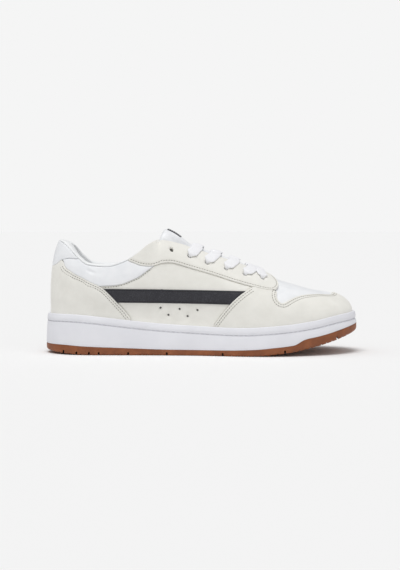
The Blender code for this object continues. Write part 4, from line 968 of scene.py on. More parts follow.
class Graph:
    """The nodes of one material."""

    def __init__(self, name: str) -> None:
        """Starts a material with its Principled shader.

        Args:
            name: the material's name.
        """
        self.material = bpy.data.materials.new(name)
        self.material.use_nodes = True
        self.tree = self.material.node_tree
        self.shader = self.tree.nodes["Principled BSDF"]

    def node(self, kind: str, settings: dict, inputs: dict, output: Union[int, str] = 0) -> Socket:
        """A node of any type.

        Args:
            kind: the node's type.
            settings: its own settings, set first.
            inputs: values or links by socket name or index.
            output: the output that is wanted.

        Returns:
            That output.
        """
        made = self.tree.nodes.new(kind)
        for key, value in settings.items():
            setattr(made, key, value)
        for key, value in inputs.items():
            self.feed(made.inputs[key], value)
        return Socket(self, made.outputs[output])

    def feed(self, socket: bpy.types.NodeSocket, value: Union[Value, tuple]) -> None:
        """Links or sets one socket.

        Args:
            socket: the socket.
            value: a link, a number or a colour.
        """
        if isinstance(value, Socket):
            self.tree.links.new(value.socket, socket)
        else:
            socket.default_value = (*value, 1.0) if socket.type == "RGBA" and len(value) == 3 else value

    def place(self) -> Socket:
        """Object coordinates, in metres."""
        return self.node("ShaderNodeTexCoord", {}, {}, "Object")

    def noise(self, size_mm: float, detail: float = 2.0, rough: float = 0.5) -> Socket:
        """Noise whose features are about size_mm across, from 0 to 1."""
        inputs = {"Vector": self.place(), "Scale": 1.0 / (size_mm * MM), "Detail": detail, "Roughness": rough}
        return self.node("ShaderNodeTexNoise", {}, inputs, "Fac")

    def cells(self, size_mm: float) -> Socket:
        """Distance in a field of cells about size_mm across."""
        inputs = {"Vector": self.place(), "Scale": 1.0 / (size_mm * MM), "Randomness": 0.95}
        return self.node("ShaderNodeTexVoronoi", {"feature": "F1"}, inputs, "Distance")

    def mix(self, low: Union[Colour, Socket], high: Union[Colour, Socket], share: Value) -> Socket:
        """A colour between two."""
        return self.node("ShaderNodeMix", {"data_type": "RGBA"}, {0: share, 6: low, 7: high}, 2)

    def bump(self, height: Socket, strength: float, distance_mm: float, after: Union[Socket, None] = None) -> Socket:
        """A normal from a height.

        Args:
            height: the height, from 0 to 1.
            strength: the share of it that shows.
            distance_mm: how deep it is.
            after: a normal that it is added to.

        Returns:
            The normal.
        """
        inputs = {"Height": height, "Strength": strength, "Distance": distance_mm * MM}
        if after is not None:
            inputs["Normal"] = after
        return self.node("ShaderNodeBump", {}, inputs, "Normal")

    def uv(self) -> tuple[Socket, Socket]:
        """The piece's own two coordinates, in centimetres.

        Returns:
            The coordinates along and across.
        """
        found = self.node("ShaderNodeUVMap", {"uv_map": "UVMap"}, {})
        parts = self.node("ShaderNodeSeparateXYZ", {}, {0: found})
        return parts, Socket(self, parts.socket.node.outputs[1])

    def finish(self, **sockets: Union[Value, tuple]) -> bpy.types.Material:
        """Feeds the shader.

        Args:
            sockets: values by socket name, with underscores for spaces.

        Returns:
            The material.
        """
        for key, value in sockets.items():
            self.feed(self.shader.inputs[key.replace("_", " ")], value)
        return self.material


@dataclass(frozen=True)
class Suede:
    """Short-napped suede, a little mottled, with brushed patches."""

    name: str = "cream_suede"
    light: Colour = (0.885, 0.872, 0.822)
    dark: Colour = (0.815, 0.802, 0.750)
    nap_mm: float = 0.45

    def build(self) -> bpy.types.Material:
        """Builds the material.

        Returns:
            The material.
        """
        graph = Graph(self.name)
        nap = graph.noise(self.nap_mm, 4.0, 0.7)
        brushed = graph.noise(14.0, 3.0, 0.6)
        tone = (brushed * 0.62 + nap * 0.38).between(0.28, 0.72)
        fine = graph.bump(nap, 0.55, 0.22)
        return graph.finish(Base_Color=graph.mix(self.dark, self.light, tone), Roughness=brushed * 0.1 + 0.86,
                            Normal=graph.bump(brushed, 0.25, 0.8, fine), Sheen_Weight=0.25, Sheen_Roughness=0.5,
                            Specular_IOR_Level=0.2)


@dataclass(frozen=True)
class SmoothLeather:
    """White leather with fine pores and a soft gloss."""

    name: str = "white_leather"
    light: Colour = (0.91, 0.92, 0.94)
    dark: Colour = (0.86, 0.875, 0.90)
    pore_mm: float = 0.75

    def build(self) -> bpy.types.Material:
        """Builds the material.

        Returns:
            The material.
        """
        graph = Graph(self.name)
        pores = graph.cells(self.pore_mm).between(0.05, 0.55)
        rolls = graph.noise(9.0, 2.0)
        normal = graph.bump(rolls, 0.12, 0.6, graph.bump(pores, 0.16, 0.10))
        return graph.finish(Base_Color=graph.mix(self.dark, self.light, rolls.between(0.2, 0.7)),
                            Roughness=0.52 - pores * 0.1 + rolls * 0.08, Normal=normal, Coat_Weight=0.06)


@dataclass(frozen=True)
class GrainedLeather:
    """Black leather with a pebbled grain."""

    name: str = "black_leather"
    light: Colour = (0.070, 0.069, 0.080)
    dark: Colour = (0.030, 0.030, 0.036)
    grain_mm: float = 1.0

    def build(self) -> bpy.types.Material:
        """Builds the material.

        Returns:
            The material.
        """
        graph = Graph(self.name)
        grain = graph.cells(self.grain_mm).between(0.0, 0.6)
        wear = graph.noise(5.0, 4.0, 0.65)
        tone = ((1 - grain) * 0.5 + wear * 0.6).between(0.25, 0.95)
        return graph.finish(Base_Color=graph.mix(self.dark, self.light, tone), Roughness=0.46 + wear * 0.16,
                            Normal=graph.bump(1 - grain, 0.45, 0.16), Specular_IOR_Level=0.3)


@dataclass(frozen=True)
class CupRubber:
    """Moulded white rubber, faintly lavender, with a satin skin."""

    name: str = "white_rubber"
    light: Colour = (0.825, 0.828, 0.868)
    dark: Colour = (0.785, 0.788, 0.830)

    def build(self) -> bpy.types.Material:
        """Builds the material.

        Returns:
            The material.
        """
        graph = Graph(self.name)
        cloud = graph.noise(22.0, 3.0)
        skin = graph.noise(0.35, 2.0)
        return graph.finish(Base_Color=graph.mix(self.dark, self.light, cloud.between(0.25, 0.7)),
                            Roughness=0.5 + skin * 0.1, Normal=graph.bump(skin, 0.10, 0.05))


@dataclass(frozen=True)
class GumRubber:
    """Caramel gum rubber, slightly cloudy."""

    name: str = "gum_rubber"
    light: Colour = (0.300, 0.094, 0.029)
    dark: Colour = (0.212, 0.062, 0.018)

    def build(self) -> bpy.types.Material:
        """Builds the material.

        Returns:
            The material.
        """
        graph = Graph(self.name)
        cloud = graph.noise(12.0, 4.0, 0.6)
        skin = graph.noise(0.5, 3.0)
        return graph.finish(Base_Color=graph.mix(self.dark, self.light, cloud.between(0.3, 0.72)),
                            Roughness=0.48 + skin * 0.14, Normal=graph.bump(skin, 0.18, 0.06))


@dataclass(frozen=True)
class Knit:
    """Soft lining cloth whose stitches follow the piece."""

    name: str = "collar_lining"
    light: Colour = (0.935, 0.945, 0.950)
    dark: Colour = (0.860, 0.875, 0.885)
    pitch_mm: float = 1.1

    def build(self) -> bpy.types.Material:
        """Builds the material.

        Returns:
            The material.
        """
        graph = Graph(self.name)
        along, across = graph.uv()
        turns = 2 * math.pi * 10.0 / self.pitch_mm
        weave = (along * turns).sine() * (across * turns).sine() * 0.5 + 0.5
        fuzz = graph.noise(0.4, 3.0)
        height = weave * 0.7 + fuzz * 0.3
        return graph.finish(Base_Color=graph.mix(self.dark, self.light, height.between(0.1, 0.55)),
                            Roughness=0.88 + fuzz * 0.08, Normal=graph.bump(height, 0.22, 0.16),
                            Sheen_Weight=0.15)


@dataclass(frozen=True)
class Braid:
    """White cotton braid of a flat lace."""

    name: str = "lace_braid"
    light: Colour = (0.93, 0.93, 0.95)
    dark: Colour = (0.70, 0.71, 0.75)
    pitch_mm: float = 1.5

    def build(self) -> bpy.types.Material:
        """Builds the material.

        Returns:
            The material.
        """
        graph = Graph(self.name)
        along, across = graph.uv()
        turns = 2 * math.pi * 10.0 / self.pitch_mm
        plait = ((along + across) * turns).sine() * ((along - across) * turns).sine()
        height = plait * 0.5 + 0.5
        fuzz = graph.noise(0.35, 3.0)
        return graph.finish(Base_Color=graph.mix(self.dark, self.light, (height + fuzz * 0.3).between(0.0, 0.55)),
                            Roughness=0.9 + fuzz * 0.05, Normal=graph.bump(height + fuzz * 0.4, 0.4, 0.22),
                            Sheen_Weight=0.1)


@dataclass(frozen=True)
class Thread:
    """Sewing thread of one colour, with a twist."""

    name: str
    colour: Colour

    def build(self) -> bpy.types.Material:
        """Builds the material.

        Returns:
            The material.
        """
        graph = Graph(self.name)
        twist = graph.noise(0.3, 2.0)
        dark = tuple(c * 0.8 for c in self.colour)
        return graph.finish(Base_Color=graph.mix(dark, self.colour, twist), Roughness=0.7 + twist * 0.1,
                            Normal=graph.bump(twist, 0.3, 0.08))


@dataclass(frozen=True)
class Backdrop:
    """Matte pale paper for the floor."""

    name: str = "pale_floor"
    colour: Colour = (0.93, 0.93, 0.93)

    def build(self) -> bpy.types.Material:
        """Builds the material.

        Returns:
            The material.
        """
        graph = Graph(self.name)
        tone = graph.noise(400.0, 2.0)
        return graph.finish(Base_Color=graph.mix(tuple(c * 0.99 for c in self.colour), self.colour, tone),
                            Roughness=1.0, Specular_IOR_Level=0.0)


class FinishName(Enum):
    """The finishes that pieces choose from."""

    SUEDE = Suede()
    LEATHER = SmoothLeather()
    BLACK = GrainedLeather()
    CUP = CupRubber()
    GUM = GumRubber()
    LINING = Knit()
    FOOTBED = Knit("footbed_cloth", (0.80, 0.82, 0.84), (0.68, 0.70, 0.73), 1.6)
    LACE = Braid()
    LABEL = Knit("woven_label", (0.045, 0.045, 0.055), (0.020, 0.020, 0.025), 0.8)
    CREAM_THREAD = Thread("cream_thread", (0.74, 0.72, 0.66))
    # Painted shade: dark discs that stand for the shadow inside the pinholes and the free eyelet.
    PAINTED_HOLE_SHADE = Thread("painted_hole_shade", (0.115, 0.110, 0.102))
    BLACK_THREAD = Thread("black_thread", (0.010, 0.010, 0.012))
    WHITE_THREAD = Thread("white_thread", (0.80, 0.80, 0.83))
    # Painted shade: dark dots that stand for the shadow in the needle holes.
    NEEDLE_HOLE_SHADE = Thread("needle_hole_shade", (0.17, 0.16, 0.135))


class Finishes:
    """Builds each finish once."""

    def __init__(self) -> None:
        """Starts empty."""
        self.made: dict[FinishName, bpy.types.Material] = {}

    def __call__(self, name: FinishName) -> bpy.types.Material:
        """Gives a finish, built the first time it is asked for.

        Args:
            name: the finish.

        Returns:
            Its material.
        """
        if name not in self.made:
            self.made[name] = name.value.build()
        return self.made[name]


FINISH = Finishes()


def settle(piece: bpy.types.Object, *nodes: str, fill_share: Union[float, None] = None) -> bpy.types.Object:
    """Lets a finished piece ride on the shoe and stand for its CAD nodes.

    Args:
        piece: the finished object.
        nodes: the CAD nodes that it stands for.
        fill_share: how full it is, where it is padded; not used.

    Returns:
        The same object.
    """
    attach(piece, BODY)
    if nodes:
        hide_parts(*nodes)
    log.info("%s: %d faces", piece.name, len(piece.data.polygons))
    return piece


@dataclass
class StitchRows:
    """Rows of stitches, gathered as spots with a direction and an up, and made by Geometry Nodes."""

    name: str
    finish: FinishName
    stitch_length: float = 1.75
    thread_width: float = 0.62
    pitch: float = 2.45
    spots: list[Array] = field(default_factory=list)

    def add(self, points: Array, up: Array, phase: float = 0.5) -> None:
        """Adds a row of stitches.

        Args:
            points: the row's points, in millimetres.
            up: the surface's normal at each.
            phase: where in its pitch each stitch sits.
        """
        run = lengths_along(points)
        count = max(2, int(run[-1] / self.pitch))
        at = (np.arange(count) + phase) * run[-1] / count
        both = np.concatenate([points, up, np.gradient(points, run, axis=0)], axis=1)
        self.spots.append(np.stack([np.interp(at, run, both[:, k]) for k in range(9)], axis=1))

    def tree(self) -> bpy.types.NodeTree:
        """The node tree that puts one stitch on each spot.

        Returns:
            The tree, with the sizes and the finish as inputs.
        """
        tree = bpy.data.node_groups.new(f"{self.name}_nodes", "GeometryNodeTree")
        face = tree.interface
        face.new_socket("Geometry", in_out="INPUT", socket_type="NodeSocketGeometry")
        for name in ("Stitch length", "Thread width"):
            face.new_socket(name, in_out="INPUT", socket_type="NodeSocketFloat")
        face.new_socket("Finish", in_out="INPUT", socket_type="NodeSocketMaterial")
        face.new_socket("Geometry", in_out="OUTPUT", socket_type="NodeSocketGeometry")
        new, link = tree.nodes.new, tree.links.new
        entry, exit_node = new("NodeGroupInput"), new("NodeGroupOutput")
        bead = new("GeometryNodeMeshUVSphere")
        bead.inputs["Segments"].default_value, bead.inputs["Rings"].default_value = 8, 5
        bead.inputs["Radius"].default_value = 0.5
        size = new("ShaderNodeCombineXYZ")
        link(entry.outputs["Stitch length"], size.inputs[0])
        link(entry.outputs["Thread width"], size.inputs[1])
        link(entry.outputs["Thread width"], size.inputs[2])
        turn = None
        for axis, attribute in (("X", "run"), ("Z", "up")):
            read = new("GeometryNodeInputNamedAttribute")
            read.data_type = "FLOAT_VECTOR"
            read.inputs["Name"].default_value = attribute
            aim = new("FunctionNodeAlignRotationToVector")
            aim.axis = axis
            aim.pivot_axis = "AUTO" if turn is None else "X"
            link(read.outputs[0], aim.inputs["Vector"])
            if turn is not None:
                link(turn.outputs[0], aim.inputs["Rotation"])
            turn = aim
        copy = new("GeometryNodeInstanceOnPoints")
        link(entry.outputs["Geometry"], copy.inputs["Points"])
        link(bead.outputs["Mesh"], copy.inputs["Instance"])
        link(turn.outputs[0], copy.inputs["Rotation"])
        link(size.outputs[0], copy.inputs["Scale"])
        real, smooth, dress = (new("GeometryNodeRealizeInstances"), new("GeometryNodeSetShadeSmooth"),
                               new("GeometryNodeSetMaterial"))
        link(copy.outputs[0], real.inputs[0])
        link(real.outputs[0], smooth.inputs[0])
        link(smooth.outputs[0], dress.inputs["Geometry"])
        link(entry.outputs["Finish"], dress.inputs["Material"])
        link(dress.outputs[0], exit_node.inputs[0])
        return tree

    def build(self) -> bpy.types.Object:
        """Makes the stitches one plain mesh.

        Returns:
            The piece.
        """
        spots = np.concatenate(self.spots)
        mesh = bpy.data.meshes.new(f"{self.name}_spots")
        mesh.from_pydata(spots[:, :3] * MM, [], [])
        for name, part in (("up", spots[:, 3:6]), ("run", spots[:, 6:9])):
            layer = mesh.attributes.new(name, "FLOAT_VECTOR", "POINT")
            layer.data.foreach_set("vector", unit(part).astype(np.float32).ravel())
        host = bpy.data.objects.new(f"{self.name}_host", mesh)
        bpy.context.scene.collection.objects.link(host)
        tree = self.tree()
        maker = host.modifiers.new("stitches", "NODES")
        maker.node_group = tree
        values = {"Stitch length": self.stitch_length * MM, "Thread width": self.thread_width * MM,
                  "Finish": FINISH(self.finish)}
        for item in tree.interface.items_tree:
            if item.name in values:
                maker[item.identifier] = values[item.name]
        made = bpy.data.meshes.new_from_object(host.evaluated_get(bpy.context.evaluated_depsgraph_get()))
        host.modifiers.remove(maker)
        bpy.data.objects.remove(host, do_unlink=True)
        piece = bpy.data.objects.new(self.name, made)
        made.name = self.name
        bpy.context.scene.collection.objects.link(piece)
        return settle(piece)


@dataclass
class Panels:
    """Sizes and tools that all panels of the upper share."""

    step: float = 1.5
    inner_step: float = 2.1
    seam_half: float = 0.06
    layer_gap: float = 0.7
    overlay: float = 2.3
    quarter: float = 0.9
    edge_radius: float = 0.9
    cup_tuck: float = 0.045
    edge_drop: float = 0.002
    trough_depth: float = 0.40
    trough_width: float = 0.75
    row_insets: tuple[float, ...] = (0.15, 0.45, 0.9, 1.6, 2.2, 2.8, 3.5, 4.3, 5.0, 5.8)

    @property
    def overlay_outer(self) -> float:
        """Offset of an overlay's face."""
        return self.layer_gap + self.overlay

    @property
    def quarter_outer(self) -> float:
        """Offset of a quarter's face."""
        return self.layer_gap + self.quarter

    def face(self, plane_points: Array, loops: Sequence[Array], outer: float, rows: Sequence[Array],
             puff: float, ridge: bool) -> Array:
        """Offset of a panel's face at each point: rounded edges, sewn troughs, padding, creases and cup flare.

        Args:
            plane_points: the panel's points in the pattern plane.
            loops: its boundary and holes.
            outer: the face's offset away from its edges.
            rows: stitch rows, in the pattern plane.
            puff: extra height of the middle, where it is padded.
            ridge: the panel runs over the ridge.

        Returns:
            The offsets.
        """
        radius = self.edge_radius
        away = distance_to(plane_points, loops[0])
        for hole in loops[1:]:
            away = np.minimum(away, 1.6 * distance_to(plane_points, hole))
        level = outer - radius * (1 - np.sqrt(1 - (1 - np.clip(away / radius, 0, 1)) ** 2))
        level += puff * (1 - np.exp(-away / 7.0))
        for row in rows:
            dip = np.exp(-((distance_to(plane_points, row, loop=False) / self.trough_width) ** 2))
            level -= self.trough_depth * dip
        pairs = PLANE.read(plane_points)
        pairs = over_ridge(pairs) if ridge else pairs
        points = LAST.base(*pairs.T)
        above = points[:, 2] - LAST.rim(points[:, 0])
        flare = np.maximum(self.overlay_outer + 0.1 - outer, 0.1) * np.exp(-np.maximum(above, 0) / 2.6)
        return level + LAST.creased(points) + flare

    def panel(self, name: str, node: str, loops: Sequence[Array], outer: float, inner: float, finish: FinishName,
              rows: Sequence[Array] = (), puff: float = 0.0, ridge: bool = False) -> bpy.types.Object:
        """A panel of the upper.

        Args:
            name: the piece's name.
            node: the CAD node that it stands for.
            loops: its boundary and holes in the pattern plane.
            outer: offset of its face from the upper's surface.
            inner: offset of its back.
            finish: its finish.
            rows: stitch rows that press into it.
            puff: extra height of its middle.
            ridge: it runs over the ridge.

        Returns:
            The piece.
        """
        points, faces = fill(loops, self.inner_step, self.row_insets)
        level = self.face(points, loops, outer, rows, puff, ridge)
        pairs = PLANE.read(points)
        pairs = over_ridge(pairs) if ridge else pairs
        made = make_object(name, *shell(pairs, faces, level, np.full(len(points), inner)), FINISH(finish))
        return settle(made, node)


@dataclass
class Seams:
    """Stitch rows of the upper, in cream and black thread, with dark dots of painted shade in the needle holes beside
    the cream rows.
    """

    panels: Panels
    cream: StitchRows = field(default_factory=lambda: StitchRows("seam_stitches", FinishName.CREAM_THREAD))
    black: StitchRows = field(default_factory=lambda: StitchRows("band_stitches", FinishName.BLACK_THREAD,
                                                                 stitch_length=2.0))
    # Dark dots of painted shade, sunk between the cream stitches where the needle holes are.
    holes: StitchRows = field(default_factory=lambda: StitchRows("needle_hole_shade", FinishName.NEEDLE_HOLE_SHADE,
                                                                 stitch_length=0.95, thread_width=0.8))
    shade_dot_sink: float = 0.12

    def sew(self, row: Array, offset: float, both_sides: bool = True, black: bool = False) -> None:
        """Sews along a lateral pattern-plane row, and along its mirror image.

        Args:
            row: the row in the pattern plane.
            offset: offset of the face that it is sewn into.
            both_sides: sews the medial side too.
            black: sews in black thread.
        """
        row = evenly(row, 0.8)
        lap, rise = PLANE.read(row).T
        for laps in (lap, 2 - lap) if both_sides else (lap,):
            up = LAST.normal(laps, rise)
            base = LAST.base(laps, rise)
            level = offset - self.panels.trough_depth * 0.75 + LAST.creased(base)
            (self.black if black else self.cream).add(base + up * level[:, None], up)
            if not black:
                # A dark dot of painted shade between each pair of cream stitches.
                self.holes.add(base + up * (level - self.shade_dot_sink)[:, None], up, phase=0.0)

    def build(self) -> None:
        """Builds the rows of thread and the dots of painted shade in the needle holes."""
        for rows in (self.cream, self.black, self.holes):
            rows.build()


@dataclass
class Upper:
    """The base of the upper, and every panel that is sewn on it."""

    panels: Panels = field(default_factory=Panels)
    wall: float = 2.2
    eyelet_radius: float = 2.0
    pinhole_radius: float = 1.1
    # Where the discs of painted shade sit, and how many corners they have.
    shade_disc_level: float = 0.3
    shade_disc_sides: int = 16
    band_width: float = 12.5
    band_thickness: float = 0.8
    stay_front: float = 0.716
    row_near: float = 2.0
    row_far: float = 4.4
    stay_row: float = 2.2
    band_row: float = 1.3
    panel_row: float = 1.4
    vamp_puff: float = 1.5
    vamp_low: float = 30.0

    def __post_init__(self) -> None:
        """Works out the laps and edges that panels share."""
        self.seams = Seams(self.panels)
        self.throat_front = LAST.lap_of_ridge(LAST.throat_end)
        self.stay_rear = LAST.on_side(*STAY_REAR_EDGE[0])[0]
        self.tab_lap = LAST.on_side(*TAB_LOWER_EDGE[0])[0]
        step = self.panels.step
        nose = PLANE.side(STAY_NOSE)
        nose = np.concatenate([nose, PLANE.draw([(LAST.lap_of_ridge(self.stay_front), 1.0)])])
        self.stay_lower = PLANE.curve(STAY_LOWER_EDGE, step)
        self.stay_nose = PLANE.smooth(nose, step)
        self.counter_edge = PLANE.smooth(PLANE.side(COUNTER_EDGE), step)
        self.toe_rear = PLANE.smooth(PLANE.side(TOE_REAR_EDGE), step)

    def build(self) -> None:
        """Builds the whole upper."""
        self.build_heel()
        self.build_eyestay()
        self.build_toe()
        self.build_base()
        self.build_sides()
        self.build_painted_hole_shade()
        self.seams.build()

    def build_base(self) -> None:
        """The hollow base, whose front is the white vamp, with its eyelet holes."""
        step = 2.6
        rear = PLANE.top(0.0, self.throat_front, step * 0.6)
        rear[-1] = PLANE.draw([(self.throat_front, 1.0)])[0]
        ridge = evenly(PLANE.draw([(self.throat_front, 1.0), (1.0, 1.0)]), step)
        ridge[0] = rear[-1]
        foot = PLANE.level(0.0, 1.0, 0.0, step)
        toe = evenly(PLANE.draw([(1.0, 0.0), (1.0, 1.0)]), step)
        heel = evenly(PLANE.draw([(0.0, 0.0), (0.0, 1.0)]), step)
        loop = closed([foot, toe, ridge[::-1], rear[::-1], heel[::-1]])
        holes = [hole_loop(row, self.eyelet_radius) for row in EYELETS]
        holes += [hole_loop(row, self.pinhole_radius, 12) for row in PINHOLES]
        points, faces = fill([loop, *holes], 2.2, ())
        lateral = PLANE.read(points)
        medial = np.stack([2 - lateral[:, 0], lateral[:, 1]], axis=1)
        pairs = np.concatenate([lateral, medial])
        both = np.concatenate([faces, faces[:, ::-1] + len(points)])
        bare = ~is_inside(points, self.toe_loop) & ~is_inside(points, self.stay_loop) & (points[:, 1] > self.vamp_low)
        away = np.minimum(distance_to(points, self.toe_loop), distance_to(points, self.stay_loop))
        puff = self.vamp_puff * bare * (1 - np.exp(-away / 3.0)) * ramp(0.64, 0.70, lateral[:, 0])
        outer = LAST.creased(LAST.base(*pairs.T)) + np.concatenate([puff, puff])
        inner = np.full(len(pairs), -self.wall)
        settle(make_object("upper_and_vamp", *shell(pairs, both, outer, inner), FINISH(FinishName.LEATHER)), "upper")

    def build_painted_hole_shade(self) -> None:
        """Dark discs of painted shade at the bottom of the pinholes and of the eyelet that the lace leaves free."""
        sides = self.shade_disc_sides
        turns = np.linspace(0, 2 * np.pi, sides, endpoint=False)
        points, faces = [], []
        for row, radius in [(EYELETS[0], self.eyelet_radius), *[(hole, self.pinhole_radius) for hole in PINHOLES]]:
            lap, rise = LAST.on_side(*row)
            for side in (lap, 2 - lap):
                up = LAST.normal(np.array([side]), np.array([rise]))[0]
                middle = LAST.base(np.array([side]), np.array([rise]))[0] + up * self.shade_disc_level
                wide = unit(np.cross(up, [0.0, 0.0, 1.0]))
                tall = np.cross(wide, up)
                ring = (np.cos(turns)[:, None] * wide + np.sin(turns)[:, None] * tall) * (radius - 0.08)
                start = len(points) * sides
                points += [middle + ring, middle + ring - 0.15 * up]
                faces += [tuple(range(start, start + sides)),
                          tuple(range(start + 2 * sides - 1, start + sides - 1, -1))]
                faces += [(start + i, start + sides + i, start + sides + (i + 1) % sides, start + (i + 1) % sides)
                          for i in range(sides)]
        points = np.concatenate(points)
        settle(make_object("painted_hole_shade", points, outward(points, faces), FINISH(FinishName.PAINTED_HOLE_SHADE)))

    def build_heel(self) -> None:
        """The suede counter round the heel, and the leather tab above it."""
        panels, step = self.panels, self.panels.step
        middle = PLANE.draw([(0.0, LAST.on_side(0.03, TAB_LOWER_EDGE[-1][1] - 0.012)[1])])
        top_of_tab = PLANE.draw([(self.tab_lap, 1.0 - panels.edge_drop)])
        lower = PLANE.smooth(np.concatenate([top_of_tab, PLANE.side(TAB_LOWER_EDGE[1:]), middle]), step)
        self.tab_lower = lower
        upper_edge = PLANE.top(0.0, self.tab_lap, step, panels.edge_drop)
        upper_edge[-1] = lower[0]
        around = PLANE.round_heel
        tab = closed([lower, around(lower)[::-1], around(upper_edge)[::-1], upper_edge])
        panels.panel("heel_tab_leather", "heel_tab", [inset(tab, panels.seam_half)], panels.overlay_outer, 0.1,
                     FinishName.LEATHER, puff=0.5)
        front = self.counter_edge
        foot_lap = float(PLANE.read(front[-1:])[0][0])
        tuck = evenly(np.stack([front[-1], PLANE.draw([(foot_lap, panels.cup_tuck)])[0]]), step)
        foot = PLANE.level(foot_lap, 0.0, panels.cup_tuck, step)
        shoulder = np.concatenate([lower[nearest(lower, front[0]) :][::-1], front[:1]])
        half = [shoulder, front, tuck, foot]
        loop = closed([*half, *[around(run)[::-1] for run in half[::-1]]])
        rows = [shifted(front[3:], distance, left=False) for distance in (self.row_near, self.row_far)]
        panels.panel("heel_counter_suede", "heel_counter", [inset(loop, panels.seam_half)], panels.overlay_outer,
                     0.1, FinishName.SUEDE, rows=[*rows, *[around(row) for row in rows]])
        for row in rows:
            self.seams.sew(row, panels.overlay_outer)

    def build_eyestay(self) -> None:
        """One piece from collar to collar round the front of the throat, with its eyelets."""
        panels, step = self.panels, self.panels.step
        rear = PLANE.side(STAY_REAR_EDGE)
        rear[0] = PLANE.draw([(self.stay_rear, 1.0 - panels.edge_drop)])[0]
        edge = PLANE.top(self.stay_rear, self.throat_front, step, panels.edge_drop)
        edge[-1] = PLANE.draw([(self.throat_front, 1.0)])[0]
        half = [PLANE.smooth(rear, step), self.stay_lower, self.stay_nose]
        past = PLANE.past_ridge
        loop = closed([*half, *[past(run)[::-1] for run in half[::-1]], past(edge), edge[::-1]])
        self.stay_loop = loop
        holes = [hole_loop(row, self.eyelet_radius) for row in EYELETS]
        row = shifted(np.concatenate([half[0][3:-1], self.stay_lower, self.stay_nose[1:-6]]), self.stay_row, left=True)
        panels.panel("eyestay_suede", "eyestay", [inset(loop, panels.seam_half), *holes, *map(past, holes)],
                     panels.overlay_outer, 0.1, FinishName.SUEDE, rows=[row, past(row)], ridge=True)
        self.seams.sew(row, panels.overlay_outer)

    def build_toe(self) -> None:
        """The suede piece that wraps the toe, from seam to seam."""
        panels, step = self.panels, self.panels.step
        rear = self.toe_rear
        foot_lap = float(PLANE.read(rear[-1:])[0][0])
        tuck = evenly(np.stack([rear[-1], PLANE.draw([(foot_lap, panels.cup_tuck)])[0]]), step)
        foot = PLANE.level(foot_lap, 1.0, panels.cup_tuck, step)
        lower, nose = self.stay_lower, self.stay_nose
        along_lower = lower[nearest(lower, rear[0]) + 1 : -1]
        along_nose = nose[: nearest(nose, PLANE.side(STAY_NOSE[1:2])[0]) + 1]
        seam = np.concatenate([rear[:1], along_lower, along_nose])
        cap = PLANE.draw([LAST.from_above(*row) for row in TOE_CAP_EDGE])
        cap[-1, 0] = PLANE.draw([(1.0, 0.5)])[0, 0]
        edge = PLANE.smooth(np.concatenate([PLANE.side(TOE_UPPER_EDGE), cap]), step)
        join = evenly(np.stack([seam[-1], edge[0]]), step)
        half = [tuck[::-1], rear[::-1], seam, join, edge]
        mirror = PLANE.medial
        loop = closed([foot[::-1], *half, *[mirror(run)[::-1] for run in half[::-1]], mirror(foot[::-1])[::-1]])
        self.toe_loop = loop
        rows = []
        for distance in (self.row_near, self.row_far):
            rows.append(shifted(rear[2:], distance, left=True))
            row = shifted(edge, distance, left=False)
            rows.append(row[row[:, 0] < cap[-1, 0] - 0.6])
        panels.panel("toe_overlay_suede", "toe_overlay", [inset(loop, panels.seam_half)], panels.overlay_outer,
                     0.1, FinishName.SUEDE, rows=[*rows, *map(mirror, rows)])
        for row in rows:
            self.seams.sew(row, panels.overlay_outer)

    def band_end(self, edge: Sequence[tuple[float, float]]) -> Array:
        """The part of a seam that the straight band meets.

        Args:
            edge: the seam as seen from the side.

        Returns:
            Pattern-plane points.
        """
        fine = PLANE.smooth(PLANE.side(edge), 0.3)
        points = LAST.base(*PLANE.read(fine).T)
        (x0, z0), (x1, z1) = [(float(LAST.x_of(a)), up * LAST.collar_height) for a, up in BAND_LOWER_EDGE]
        above = points[:, 2] - z0 - (points[:, 0] - x0) * (z1 - z0) / (x1 - x0)
        return evenly(fine[(above > 0) & (above < self.band_width)], self.panels.step)

    def straight(self, start: Array, end: Array, offset: float, medial: bool) -> Array:
        """A run that looks straight from its side.

        Args:
            start: its start, on the lateral side of the pattern plane.
            end: its end.
            offset: offset of the face that it bounds.
            medial: it is worked out for the medial side.

        Returns:
            The run, on the lateral side of the pattern plane.
        """
        mirror = [2.0, 0.0] if medial else [0.0, 0.0]
        turn = [-1.0, 1.0] if medial else [1.0, 1.0]
        ends = [LAST.base(*(PLANE.read(point[None]) * turn + mirror).T)[0][[0, 2]] for point in (start, end)]
        shares = np.linspace(0, 1, 61)[1:-1]
        level = ends[0] + shares[:, None] * (ends[1] - ends[0])
        bend = np.zeros(len(shares))
        for _ in range(3):
            rows = np.stack([level[:, 0] / LAST.length + 0.5, (level[:, 1] - bend) / LAST.collar_height], axis=1)
            run = PLANE.side([tuple(row) for row in rows], medial)
            lift = LAST.normal(*(PLANE.read(run) * turn + mirror).T)[:, 2] * offset
            bend = lift - lift[0] - shares * (lift[-1] - lift[0])
        return evenly(np.concatenate([start[None], run, end[None]]), self.panels.step)

